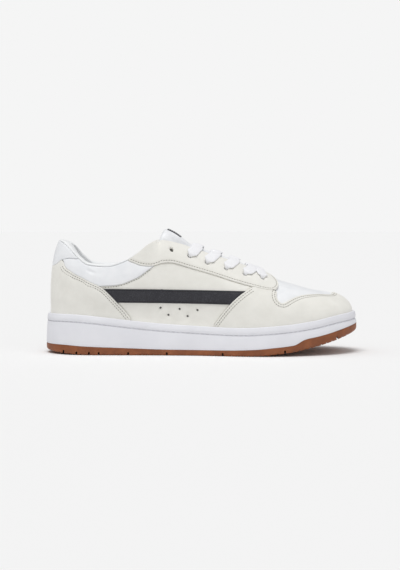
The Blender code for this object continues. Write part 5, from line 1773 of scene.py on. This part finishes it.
    def build_sides(self) -> None:
        """Each side's suede quarter, padded leather collar panel and plain straight band."""
        panels, step = self.panels, self.panels.step
        counter, toe = self.counter_edge, self.toe_rear
        start = nearest(counter, PLANE.side(COLLAR_PANEL_EDGE[:1])[0])
        rear = counter[start:]
        laps = [float(PLANE.read(run[-1:])[0][0]) for run in (rear, toe)]
        down = evenly(np.stack([rear[-1], PLANE.draw([(laps[0], panels.cup_tuck)])[0]]), step)
        foot = PLANE.level(laps[0], laps[1], panels.cup_tuck, step)
        up = evenly(np.stack([PLANE.draw([(laps[1], panels.cup_tuck)])[0], toe[-1]]), step)
        stay = np.concatenate([self.stay_lower[: nearest(self.stay_lower, toe[0])], toe[:1]])
        low_edge = PLANE.smooth(np.concatenate([rear[:1], PLANE.side(COLLAR_PANEL_EDGE[1:-1]), stay[:1]]), step)
        quarter = closed([rear, down, foot, up, toe[::-1], stay[::-1], low_edge[::-1]])
        tab = self.tab_lower
        stay_rear = PLANE.side(STAY_REAR_EDGE)
        stay_rear[0] = PLANE.draw([(self.stay_rear, 1.0 - panels.edge_drop)])[0]
        stay_rear[-1] = stay[0]
        top_line = PLANE.top(self.tab_lap, self.stay_rear, step, panels.edge_drop)
        collar = closed([np.concatenate([tab[: nearest(tab, counter[0])], counter[:1]]), counter[: start + 1],
                         low_edge, PLANE.smooth(stay_rear, step)[::-1], top_line[::-1]])
        ends = [self.band_end(edge) for edge in (COUNTER_EDGE, TOE_REAR_EDGE)]
        band_outer = panels.quarter_outer + panels.layer_gap + self.band_thickness
        half = panels.seam_half
        pinholes = [hole_loop(row, self.pinhole_radius, 12) for row in PINHOLES]
        panel_row = shifted(low_edge[2:-2], -self.panel_row, left=True)
        for side, place in (("lateral", lambda run: run), ("medial", PLANE.medial)):
            panels.panel(f"quarter_{side}_suede", f"quarter_{side}",
                         [place(inset(quarter, half)), *map(place, pinholes)], panels.quarter_outer, 0.1,
                         FinishName.SUEDE, rows=[place(panel_row)])
            panels.panel(f"collar_panel_{side}_leather", f"collar_panel_{side}", [place(inset(collar, half))],
                         panels.overlay_outer - 0.6, 0.1, FinishName.LEATHER, puff=1.1)
            low, high = [self.straight(ends[0][i], ends[1][i], band_outer, side == "medial") for i in (-1, 0)]
            band = closed([ends[0], low, ends[1][::-1], high[::-1]])
            band_rows = [shifted(run[1:-1], self.band_row, left=run is low) for run in (high, low)]
            panels.panel(f"side_band_{side}_leather", f"side_band_{side}", [place(inset(band, half))], band_outer,
                         panels.quarter_outer - 0.4, FinishName.BLACK, rows=[place(row) for row in band_rows])
            for row in band_rows:
                self.seams.sew(place(row), band_outer, both_sides=False, black=True)
        self.seams.sew(panel_row, panels.quarter_outer)


@dataclass
class Sole:
    """The white cup, the gum tread with its channels, and the footbed."""

    rim_height: float = 7.0
    rim_setback: float = 1.6
    rim_lip: float = 1.8
    draft: float = 1.0
    groove_depth: float = 0.9
    groove_height: float = 1.5
    gum_corner: float = 2.4
    channel_width: float = 1.7
    channel_depth: float = 3.0
    footbed_thickness: float = 5.0
    footbed_edge: float = 10.9
    footbed_roll: float = 1.2
    footbed_slope: float = 9.0
    footbed_dish: float = 2.0
    ribs_from: float = 0.05
    ribs_to: float = 0.965
    rib_pitch: float = 0.0175
    rib_width: float = 1.1
    rib_depth: float = 0.9
    waist: tuple[float, float] = (0.40, 0.52)
    ring_points: int = 420

    def ring(self, inset_by: float, height: Curve) -> Array:
        """One ring of sole points at a constant inset."""
        plan = LAST.outline(np.arange(self.ring_points) * 2 / self.ring_points, np.full(self.ring_points, inset_by))
        return np.concatenate([plan, height(plan[:, 0])[:, None]], axis=1)

    def solid(self, name: str, rings: Sequence[Array], finish: FinishName) -> bpy.types.Object:
        """A solid through rings, closed straight across the first and the last.

        Args:
            name: the piece's name.
            rings: rings of ring_points points.
            finish: its finish.

        Returns:
            The object.
        """
        count = self.ring_points
        points, faces = np.concatenate(rings), []
        for i in range(len(rings) - 1):
            for j in range(count):
                k = (j + 1) % count
                faces.append((i * count + j, i * count + k, (i + 1) * count + k, (i + 1) * count + j))
        last = (len(rings) - 1) * count
        for j in range(count // 2):
            near, far = (j, j + 1), ((count - j - 1) % count, (count - j) % count)
            for start, turn in ((0, 1), (last, -1)):
                faces.append(tuple(start + i for i in dict.fromkeys((*near[::-1], *far[::-1])))[::turn])
        return make_object(name, points, outward(points, faces), FINISH(finish), uv=points[:, :2] / 10.0)

    def build_cup(self) -> None:
        """The cup: a drafted side, a groove for its stitches, and a soft rim."""
        rim, gum = LAST.rim, LAST.gum
        groove = self.rim_height + self.groove_height / 2
        side = self.draft
        rings = [self.ring(0.35, gum), self.ring(0.08, lambda x: gum(x) + 0.15), self.ring(0.0, lambda x: gum(x) + 0.5)]
        for share in (0.25, 0.5, 0.75, 0.92):
            bow = -0.35 * math.sin(math.pi * share)
            rings.append(self.ring(side * share + bow,
                                   lambda x, s=share: gum(x) + 0.5 + (rim(x) - groove - gum(x) - 0.9) * s))
        for turn in np.linspace(0, 1, 9):
            depth = self.groove_depth * math.sin(math.pi * turn) ** 0.8
            rings.append(self.ring(side + depth, lambda x, t=turn: rim(x) - groove + self.groove_height * (t - 0.1)))
        height = self.rim_height - self.groove_height / 2
        for share in (0.12, 0.3, 0.5, 0.7):
            bow = -0.45 * math.sin(math.pi * min(share * 1.15, 1))
            rings.append(self.ring(side + share * (self.rim_setback - side) + bow,
                                   lambda x, s=share: rim(x) - height + 0.2 + (height - 1.2) * s))
        for turn in np.linspace(0.15, 1, 7) * math.pi / 2:
            rings.append(self.ring(self.rim_setback + 1.0 - 1.0 * math.cos(turn),
                                   lambda x, a=turn: rim(x) - 1.0 + 1.0 * math.sin(a)))
        lip = self.rim_setback + self.rim_lip
        rings += [self.ring(lip + 0.1, rim), self.ring(lip + 0.42, lambda x: rim(x) - 0.35),
                  self.ring(lip + 0.5, lambda x: rim(x) - 1.2),
                  self.ring(lip + 0.5, lambda x: rim(x) - LAST.cup_depth)]
        settle(self.solid("cup_of_white_rubber", rings, FinishName.CUP), "midsole")

    def build_stitches(self) -> None:
        """The row of thread in the cup's groove."""
        rows = StitchRows("cup_stitches", FinishName.WHITE_THREAD, stitch_length=3.4, thread_width=0.75, pitch=4.6)
        laps = np.linspace(0, 2, 1200)
        plan = LAST.outline(laps, np.full(1200, self.draft + self.groove_depth - 0.25))
        out = plan - LAST.outline(laps, np.full(1200, self.draft + 5.0))
        up = unit(np.concatenate([out, np.zeros((1200, 1))], axis=1))
        height = LAST.rim(plan[:, 0]) - self.rim_height - 0.15
        rows.add(np.concatenate([plan, height[:, None]], axis=1), up)
        rows.build()

    def build_tread(self) -> None:
        """The gum tread, cut by its channels and by fine ribs."""
        low, corner = LAST.bottom, self.gum_corner
        rings = [self.ring(5.0, low)]
        for turn in np.linspace(0, 1, 8) * math.pi / 2:
            rings.append(self.ring(corner * 0.8 * (1 - math.sin(turn)),
                                   lambda x, a=turn: low(x) + corner * (1 - math.cos(a))))
        rings += [self.ring(0.0, lambda x, s=s: low(x) + corner + (LAST.gum(x) - 0.3 - low(x) - corner) * s)
                  for s in (0.35, 0.7)]
        rings += [self.ring(0.0, lambda x: LAST.gum(x) - 0.45), self.ring(0.15, lambda x: LAST.gum(x) - 0.12)]
        tread = self.solid("tread_of_gum_rubber", rings, FinishName.GUM)
        cutter = self.cutter()
        cut = tread.modifiers.new("channels", "BOOLEAN")
        cut.operation, cut.solver, cut.object = "DIFFERENCE", "EXACT", cutter
        bpy.context.view_layer.update()
        made = bpy.data.meshes.new_from_object(tread.evaluated_get(bpy.context.evaluated_depsgraph_get()))
        tread.modifiers.remove(cut)
        tread.data = made
        made.shade_smooth()
        made.set_sharp_from_angle(angle=math.radians(40))
        bpy.data.objects.remove(cutter, do_unlink=True)
        settle(tread, "outsole")

    def cutter(self) -> bpy.types.Object:
        """The blocks that cut the channels across the tread and the fine ribs between them.

        Returns:
            The blocks as one object.
        """
        cuts = [(along, self.channel_width, self.channel_depth) for along in CHANNELS]
        for along in np.arange(self.ribs_from, self.ribs_to, self.rib_pitch):
            if min(abs(along - other) for other in CHANNELS) > 0.012 and not self.waist[0] < along < self.waist[1]:
                cuts.append((along, self.rib_width, self.rib_depth))
        points, faces = [], []
        for along, width, depth in cuts:
            x = float(LAST.x_of(along))
            rise = float(LAST.bottom(x + 1) - LAST.bottom(x - 1)) / 2
            axis = np.array([1.0, 0.0, rise]) / math.hypot(1.0, rise)
            up = np.array([-axis[2], 0.0, axis[0]])
            middle = np.array([x, 0.0, float(LAST.bottom(x))])
            start = len(points)
            reach = LAST.ball_width * 0.7
            for a in (-1, 1):
                for b in (-1, 1):
                    for c in (-1, 1):
                        points.append(middle + axis * a * width / 2 + up * c * depth + [0, b * reach, 0])
            for face in ((0, 1, 3, 2), (4, 6, 7, 5), (0, 4, 5, 1), (2, 3, 7, 6), (0, 2, 6, 4), (1, 5, 7, 3)):
                faces.append(tuple(start + i for i in face))
        return make_object("channel_blocks", np.array(points), outward(np.array(points), faces),
                           FINISH(FinishName.GUM))

    def build_footbed(self) -> None:
        """The insole, dished to the heel, with a rolled edge."""
        edge, roll, thick = self.footbed_edge, self.footbed_roll, self.footbed_thickness

        def under(x: Array) -> Array:
            """Height of its bottom."""
            return LAST.rim(x) - LAST.cup_depth + LAST.seat_gap

        def dish(x: Array) -> Array:
            """How far its rear edge rises."""
            return self.footbed_dish * (1 - ramp(0.35, 0.75, LAST.along_of(x)))

        rings = [self.ring(edge, under)]
        for turn in np.linspace(0, 1, 6) * math.pi / 2:
            rings.append(self.ring(edge + roll * (1 - math.cos(turn)),
                                   lambda x, a=turn: under(x) + thick + dish(x) - roll + roll * math.sin(a)))
        for share in np.linspace(0.2, 1, 5):
            rings.append(self.ring(edge + roll + self.footbed_slope * share,
                                   lambda x, s=share: under(x) + thick + dish(x) * (1 - ramp(0, 1, np.array(s)))))
        settle(self.solid("footbed", rings, FinishName.FOOTBED), "insole")

    def build(self) -> None:
        """Builds the whole sole."""
        self.build_cup()
        self.build_stitches()
        self.build_tread()
        self.build_footbed()


@dataclass
class Collar:
    """The padded roll: over the top line, and down the inside of the wall."""

    end_lap: float = 0.368
    stations: int = 181
    ring_points: int = 56
    wall: float = 2.2
    pad: float = 8.0
    depth: float = 34.0
    roll: float = 3.4
    overhang: float = 2.3
    over_top: tuple[tuple[float, float, float], ...] = (
        (1.15, 0.0, 0.45), (0.45, 0.0, 0.85), (0.0, 0.15, 1.0), (0.0, 0.6, 0.85), (0.0, 0.93, 0.40))
    down_inside: tuple[tuple[float, float], ...] = ((1.0, 4.0), (1.05, 12.0), (0.8, 22.0), (0.35, 31.0))

    def sections(self) -> Array:
        """Rings across the roll, from one end to the other.

        Returns:
            Stations by ring points by 3.
        """
        laps = np.linspace(-self.end_lap, self.end_lap, self.stations)
        away = np.abs(laps)
        heights = np.linspace(LAST.cup_rise, 1, 60)
        profile = LAST.base(laps[:, None], heights[None, :])
        length = np.linalg.norm(np.diff(profile, axis=1), axis=-1).sum(axis=1)
        top = LAST.base(laps, 1.0)
        up = unit(top - LAST.base(laps, 0.97))
        out = LAST.normal(laps, 1.0)
        taper = 1 - 0.86 * ramp(0.29, 0.37, away)
        roll = self.roll * (0.45 + 0.4 * ramp(0.05, 0.12, away) - 0.15 * ramp(0.15, 0.25, away)) * taper
        pad = self.pad * taper * (1 + 0.05 * np.sin(laps * 23.0) * np.cos(laps * 11.0 + 1.0))
        inner = self.wall + 0.15
        seat = 0.12 + 0.3 * ramp(0.29, 0.34, away)
        hang = self.overhang * (1 - ramp(0.27, 0.33, away))
        rings = [top + out * hang[:, None] + up * seat[:, None]]
        for outside, inside_wall, height in self.over_top:
            across = outside * hang - (inner + pad) * inside_wall
            rings.append(top + out * across[:, None] + up * (seat + roll * height)[:, None])
        for share, drop in self.down_inside:
            rise = 1 - drop / length * (1 - LAST.cup_rise)
            rings.append(LAST.surface(laps, rise, -inner - pad * share))
        for drop in (self.depth, 22.0, 10.0):
            rings.append(LAST.surface(laps, 1 - drop / length * (1 - LAST.cup_rise), np.full(len(laps), -inner)))
        rings.append(top - out * inner + up * seat[:, None])
        return np.stack(rings, axis=1)

    def build(self) -> None:
        """The roll, rounded between its corners, with capped ends."""
        rough = self.sections()
        count = rough.shape[1]
        knots = np.arange(-3, count + 4)
        at = np.linspace(0, count, self.ring_points, endpoint=False)
        around = rough[:, knots % count]
        smooth = np.empty((len(rough), self.ring_points, 3))
        for i, ring in enumerate(around):
            for k in range(3):
                smooth[i, :, k] = monotone(knots, ring[:, k])(at)
        smooth = rounded_ends(smooth, 3.0)
        points, faces = loft(smooth)
        run = lengths_along(smooth.mean(axis=1))
        across = np.linspace(0, 90.0, self.ring_points)
        uv = np.stack(np.broadcast_arrays(run[:, None] / 10.0, across[None, :] / 10.0), axis=-1).reshape(-1, 2)
        made = make_object("collar_roll", points, faces, FINISH(FinishName.LINING), uv=uv, angle=80)
        settle(made, "collar", fill_share=0.7)


@dataclass
class Tongue:
    """The padded tongue, from under the vamp to above the top eyelets."""

    thickness: float = 5.0
    pad: float = 3.0
    half: float = 27.0
    front_half: float = 20.0
    lift: float = 8.7
    rest: float = 1.5
    wall: float = 2.2
    lining_gap: float = 1.7
    front_along: float = 0.735
    wing_half: float = 18.0
    wing_flare: float = 1.8
    wing_drop: float = 20.0
    squareness: float = 2.6
    end_reach: float = 3.6
    stations: int = 96
    across: int = 71
    label_start: float = 5.5
    label_length: float = 15.0
    label_half: float = 8.5
    label_thickness: float = 0.7

    def level(self, lap: Array, rise: Array) -> Array:
        """Offset of the tongue's face: under the eyestay, and lifted inside the throat.

        Args:
            lap: laps.
            rise: rises.

        Returns:
            The offsets.
        """
        points = LAST.base(lap, rise)
        share = LAST.throat_share(lap, rise)
        one_side, _ = LAST.fold(lap)
        wide = 1 - ramp(LAST.collar_front, 0.50, one_side)
        free = ramp(0.0, 1.0, (1 - share - (0.25 - 0.17 * wide)) / (0.50 - 0.25 * wide))
        free = free * (1 - ramp(0.63, 0.67, LAST.along_of(points[..., 0])))
        lift = (self.lift - self.rest) * (1 - ramp(LAST.collar_front + 0.005, 0.495, one_side)) + self.rest
        under = -(self.wall + self.lining_gap)
        return under + free * (lift - under)

    def tucked(self, lap: float, shares: Array) -> Array:
        """A section of the face that follows the surface, tucked under the eyestay.

        Args:
            lap: the lap at which it lies.
            shares: places across it, from -1 to 1.

        Returns:
            Its points.
        """
        rises_at = np.linspace(0, 1, 241)
        rear = float(1 - ramp(0.46, 0.60, lap))
        points = LAST.base(lap, rises_at)
        away = np.abs(points[:, 1] - LAST.centre_line(LAST.along_of(points[:, 0])))
        reach = self.front_half + (self.half - self.front_half) * rear
        edge = float(rises_at[np.flatnonzero(away < reach)[0]])
        rises = 1 - np.abs(shares) ** 0.9 * (1 - edge)
        sides = np.where(shares < 0, lap, 2 - lap)
        return LAST.surface(sides, rises, self.level(sides, rises))

    def arched(self, lap: float, centre: Array, down: Array, shares: Array) -> Array:
        """A section of the free top, bent over like a soft arch.

        Args:
            lap: the lap at which it lies.
            centre: its highest point.
            down: the way its sides drop.
            shares: places across it, from -1 to 1.

        Returns:
            Its points.
        """
        half = self.wing_half + self.wing_flare * (1 - float(ramp(LAST.collar_front, 0.46, lap)))
        turn = shares * np.pi / 2
        power = 2 / self.squareness
        over = np.sign(turn) * np.abs(np.sin(turn)) ** power * half
        drop = self.wing_drop * (1 - np.abs(np.cos(turn)) ** power)
        return centre + down * drop[:, None] + np.stack([0 * over, over, 0 * over], axis=1)

    def faces_of_pad(self) -> tuple[Array, Array]:
        """The outer and the inner face, from the top to the front.

        Returns:
            Two grids of points.
        """
        laps = np.linspace(LAST.collar_front + 0.005, LAST.lap_of_ridge(self.front_along), self.stations)
        laps = laps[0] + (laps - laps[0]) * (0.45 + 0.55 * (laps - laps[0]) / (laps[-1] - laps[0]))
        shares = np.linspace(-1, 1, self.across)
        ridge = LAST.surface(laps, np.ones(len(laps)), self.level(laps, np.ones(len(laps))))
        run = unit(np.gradient(ridge, axis=0))
        down = np.stack([run[:, 2], 0 * run[:, 1], -run[:, 0]], axis=1)
        down = np.stack([blurred(down[:, k], 6) for k in range(3)], axis=1)
        free = 1 - ramp(0.428, 0.472, laps)
        outer = np.array([
            self.tucked(lap, shares) * (1 - f) + self.arched(lap, c, d, shares) * f
            for lap, c, d, f in zip(laps, ridge, unit(down), free)])
        out = unit(np.cross(np.gradient(outer, axis=1), np.gradient(outer, axis=0)))
        out *= np.sign(out[len(out) // 2, self.across // 2, 2])
        full = self.thickness + self.pad * (1 - ramp(0.44, 0.60, laps))
        depth = full[:, None] * np.sqrt(1 - np.abs(shares) ** 4) * 0.93 + 0.5
        inner = outer - out * depth[..., None]
        middle, back = (outer + inner) / 2, unit(outer[0] - outer[2])
        caps = [(middle[0] + back * self.end_reach * math.sin(a), math.cos(a))
                for a in np.radians((88, 78, 64, 48, 30, 15))]
        caps = [(at + (outer[0] - middle[0]) * c, at + (inner[0] - middle[0]) * c) for at, c in caps]
        return (np.concatenate([np.array([cap[0] for cap in caps]), outer]),
                np.concatenate([np.array([cap[1] for cap in caps]), inner]))

    def build(self) -> None:
        """The tongue as one padded solid with a full rounded edge."""
        outer, inner = self.faces_of_pad()
        smooth = np.concatenate([outer, inner[:, ::-1]], axis=1)
        points, faces = loft(smooth, folded=True)
        run = lengths_along(outer[:, self.across // 2])
        across = lengths_along(smooth[len(smooth) // 3])
        uv = np.stack(np.broadcast_arrays(run[:, None] / 10.0, across[None, :] / 10.0), axis=-1).reshape(-1, 2)
        made = make_object("tongue_pad", points, faces, FINISH(FinishName.LEATHER), uv=uv, angle=80)
        settle(made, "tongue", fill_share=0.5)
        self.label(outer)

    def label(self, outer: Array) -> None:
        """A plain woven label with a sewn border, on the front of the tongue's top.

        Args:
            outer: the grid of the tongue's outer face.
        """
        middle = self.across // 2
        run = lengths_along(outer[:, middle])
        rows = np.flatnonzero((run > self.label_start) & (run < self.label_start + self.label_length))
        wide = np.abs(outer[rows[len(rows) // 2], :, 1]) < self.label_half
        grid = outer[rows][:, wide]
        out = unit(np.cross(np.gradient(grid, axis=1), np.gradient(grid, axis=0)))
        out *= np.sign(out[len(out) // 2, out.shape[1] // 2, 2])
        face = grid + out * self.label_thickness
        rim = np.concatenate([face[:, ::-1], grid - 0.3 * out], axis=1)
        points, faces = loft(rim, folded=True)
        settle(make_object("tongue_label", points, faces, FINISH(FinishName.LABEL), uv=points[:, :2] / 10.0))
        edge = StitchRows("label_stitches", FinishName.WHITE_THREAD, stitch_length=1.5, thread_width=0.5, pitch=2.0)
        for line, up in ((face[1, 2:-2], out[1, 2:-2]), (face[-2, 2:-2], out[-2, 2:-2]),
                         (face[1:-1, 1], out[1:-1, 1]), (face[1:-1, -2], out[1:-1, -2])):
            edge.add(line, up)
        edge.build()


@dataclass
class Laces:
    """One flat lace, over the throat's edges and down through the eyelets, with its ends inside."""

    tongue: Tongue
    width: float = 10.6
    thickness: float = 1.5
    pinched_width: float = 3.6
    pinched_thickness: float = 2.2
    clearance: float = 3.35
    lobe: float = 2.9
    lead: float = 0.23
    exit: float = 0.6
    dive: float = 4.6
    turn_in: float = 1.6
    bow: float = 0.9
    bow_at: float = 2.6
    bow_width: float = 2.2
    step: float = 0.45
    ring_points: int = 18

    def path(self, k: int) -> tuple[Array, Array]:
        """The way from an eyelet to the next on the far side, or from the last to its own twin.

        Args:
            k: the eyelet.

        Returns:
            (lap, w) pairs, where w above 1 is past the ridge, and the distance run.
        """
        first = np.array(LAST.on_side(*EYELETS[k]))
        last = np.array(LAST.on_side(*EYELETS[min(k + 1, len(EYELETS) - 1)]))
        share = np.linspace(0, 1, 160)[:, None]
        change = np.array([last[0], 2 - last[1]]) - first
        lead = share + np.array([self.lead, 0.0]) * np.sin(2 * np.pi * share)
        pairs = first + lead * change
        return pairs, lengths_along(LAST.base(*over_ridge(pairs).T))

    def hump(self, run: Array) -> Array:
        """How far the lace bows up where it comes out of an eyelet."""
        return self.bow * np.exp(-(((run - self.bow_at) / self.bow_width) ** 2))

    def offsets(self, pairs: Array, run: Array, order: int, bar: bool) -> Array:
        """Height of the lace's middle along a strand.

        Args:
            pairs: the strand's (lap, w) pairs.
            run: distance run at each.
            order: 1 where it passes over its twin, 0 where under.
            bar: it is the front bar.

        Returns:
            The offsets from the upper's surface.
        """
        half = self.thickness / 2
        hump = self.hump(run)
        if bar:
            return self.clearance + half + hump + self.hump(run[-1] - run)
        across = np.sign(pairs[:, 1] - 1) * LAST.throat_share(*over_ridge(pairs).T)
        on_tongue = self.tongue.level(*over_ridge(pairs).T) + 0.35 + half
        near = (self.clearance + half + hump) * (1 - ramp(-0.8, 0.05, across)) - 4 * ramp(-0.4, 0.6, across)
        level = np.maximum(on_tongue, near)
        level += order * 1.15 * self.thickness * (1 - ramp(0.25, 0.8, np.abs(across)))
        return np.where(across > 0.75, np.minimum(level, -3.05), level)

    def strand(self, k: int, flip: bool, order: int) -> tuple[Array, list[tuple[int, ...]], Array]:
        """One strand from its eyelet across the throat.

        Args:
            k: the eyelet that it starts from.
            flip: starts on the medial side.
            order: 1 where it passes over its twin, 0 where it passes under.

        Returns:
            The points, the faces and the lace's own coordinates.
        """
        bar = k == len(EYELETS) - 1
        pairs, run = self.path(k)
        level = blurred(self.offsets(pairs, run, order, bar), 4)
        if flip:
            pairs = np.stack([pairs[:, 0], 2 - pairs[:, 1]], axis=1)
        sides = over_ridge(pairs)
        base, up = LAST.base(*sides.T), LAST.normal(*sides.T)
        up = unit(np.stack([blurred(up[:, axis], 5) for axis in range(3)], axis=1))
        wide = unit(np.cross(up, np.gradient(base, axis=0)))
        line = base + up * level[:, None]
        away = np.clip((run - self.exit) / self.lobe, 0, 1)
        if bar:
            away = np.minimum(away, np.clip((run[-1] - run - self.exit) / self.lobe, 0, 1))
        pinch = 1 - np.sqrt(1 - (1 - away) ** 2)
        rows = np.concatenate([line, wide, pinch[:, None]], axis=1)
        near, far = [int(np.searchsorted(run, at)) for at in (self.exit, run[-1] - self.exit)]
        for at, first in ((near, True), (far, False)) if bar else ((near, True),):
            heights = np.linspace(-self.dive, level[at] - 1.2, 10)[:, None]
            hole = np.concatenate([base[at] + up[at] * heights, np.repeat(wide[at][None], 10, axis=0),
                                   np.ones((10, 1))], axis=1)
            cut = self.exit + self.turn_in
            if first:
                start = int(np.searchsorted(run, cut))
                rows = np.concatenate([hole, rows[start:]])
            else:
                rest = len(run) - int(np.searchsorted(run, run[-1] - cut))
                rows = np.concatenate([rows[:-rest], hole[::-1]])
        length = lengths_along(rows[:, :3])
        even = np.linspace(0, length[-1], int(length[-1] / self.step))
        rows = np.stack([blurred(np.interp(even, length, rows[:, k]), 3) for k in range(7)], axis=1)
        line, wide, pinch = rows[:, :3], rows[:, 3:6], np.clip(rows[:, 6], 0, 1)
        along = unit(np.gradient(line, axis=0))
        wide = unit(wide - along * (wide * along).sum(axis=1, keepdims=True))
        high = np.cross(along, wide)
        turns = np.arange(self.ring_points) * 2 * np.pi / self.ring_points
        across = np.sign(np.cos(turns)) * np.abs(np.cos(turns)) ** 0.75
        lift = np.sign(np.sin(turns)) * np.abs(np.sin(turns)) ** 0.6
        half = (self.width + (self.pinched_width - self.width) * pinch) / 2
        thick = (self.thickness + (self.pinched_thickness - self.thickness) * pinch) / 2
        curl = -0.08 * half[:, None] * np.abs(across) ** 2
        rings = (line[:, None] + wide[:, None] * (across * half[:, None])[..., None]
                 + high[:, None] * (lift * thick[:, None] + curl)[..., None])
        points, faces = loft(rings)
        u = np.broadcast_to(lengths_along(line)[:, None] / 10.0, rings.shape[:2])
        v = across * self.width / 20.0 * np.ones((len(line), 1))
        return points, faces, np.stack([u, v], axis=-1).reshape(-1, 2)

    def build(self) -> None:
        """The bar and the four crossings."""
        last = len(EYELETS) - 1
        points, faces, uv = self.strand(last, False, 0)
        settle(make_object("lace_bar_braid", points, faces, FINISH(FinishName.LACE), uv=uv, angle=80), "lace_bar")
        for k in range(1, last):
            made = [self.strand(k, flip, order) for order, flip in enumerate((False, True))]
            start = len(made[0][0])
            faces = made[0][1] + [tuple(i + start for i in face) for face in made[1][1]]
            points, uv = (np.concatenate([part[i] for part in made]) for i in (0, 2))
            piece = make_object(f"lace_crossing_{k}_braid", points, faces, FINISH(FinishName.LACE), uv=uv, angle=80)
            settle(piece, f"lace_cross_{k}")


@dataclass
class Studio:
    """The camera, soft light and pale floor."""

    focal_px: float = 1190.0
    frame_long_px: float = 570.0
    sensor_mm: float = 36.0
    distance: float = 1150.0
    elevation: float = 2.7
    centre_x: float = -1.9
    centre_z: float = 64.3
    world_light: float = 0.44
    world_seen: float = 0.913
    floor_half: float = 60000.0
    suns: tuple[tuple[str, float, float, float, float], ...] = (
        ("key", -25.0, 74.0, 32.0, 1.60),
        ("fill", 30.0, 35.0, 70.0, 0.25),
    )

    def camera(self) -> None:
        """The camera at the photograph's angle."""
        data = bpy.data.cameras.new("camera")
        data.lens = self.focal_px / self.frame_long_px * self.sensor_mm
        data.sensor_width = self.sensor_mm
        data.clip_start, data.clip_end = 0.01, 50.0
        made = bpy.data.objects.new("camera", data)
        tilt = math.radians(self.elevation)
        made.location = Vector((self.centre_x, -self.distance * math.cos(tilt),
                                self.centre_z + self.distance * math.sin(tilt))) * MM
        made.rotation_euler = (math.pi / 2 - tilt, 0.0, 0.0)
        bpy.context.scene.collection.objects.link(made)
        bpy.context.scene.camera = made

    def floor(self) -> None:
        """A wide flat floor that meets the pale world at the horizon."""
        half = self.floor_half
        points = np.array([(-half, -half, 0), (half, -half, 0), (half, half, 0), (-half, half, 0)])
        make_object("floor", points, [(0, 1, 2, 3)], Backdrop().build())

    def sun(self, name: str, azimuth: float, elevation: float, spread: float, strength: float) -> None:
        """One very soft sun, which lights the floor evenly.

        Args:
            name: its name.
            azimuth: where it stands, in degrees.
            elevation: how high, in degrees.
            spread: how wide it is, in degrees.
            strength: its strength.
        """
        data = bpy.data.lights.new(name, "SUN")
        data.angle, data.energy = math.radians(spread), strength
        made = bpy.data.objects.new(name, data)
        made.rotation_euler = (math.radians(90 - elevation), 0.0, math.radians(azimuth))
        bpy.context.scene.collection.objects.link(made)

    def world(self) -> None:
        """An even world: one strength as light, another as seen behind the floor."""
        world = bpy.context.scene.world or bpy.data.worlds.new("studio")
        bpy.context.scene.world = world
        world.use_nodes = True
        tree = world.node_tree
        glow = tree.nodes["Background"]
        glow.inputs["Color"].default_value = (1.0, 1.0, 1.0, 1.0)
        seen = tree.nodes.new("ShaderNodeLightPath")
        pick = tree.nodes.new("ShaderNodeMix")
        pick.inputs["A"].default_value, pick.inputs["B"].default_value = self.world_light, self.world_seen
        tree.links.new(seen.outputs["Is Camera Ray"], pick.inputs["Factor"])
        tree.links.new(pick.outputs["Result"], glow.inputs["Strength"])

    def build(self) -> None:
        """Camera, world, lights and floor."""
        self.camera()
        self.floor()
        self.world()
        for row in self.suns:
            self.sun(*row)
        bpy.context.scene.view_settings.view_transform = "Standard"


def main() -> None:
    """Builds the shoe and its studio."""
    logging.basicConfig(level=logging.INFO, format="%(name)s: %(message)s")
    Studio().build()
    Sole().build()
    Upper().build()
    Collar().build()
    tongue = Tongue()
    tongue.build()
    Laces(tongue).build()


if __name__ == "__main__":
    main()
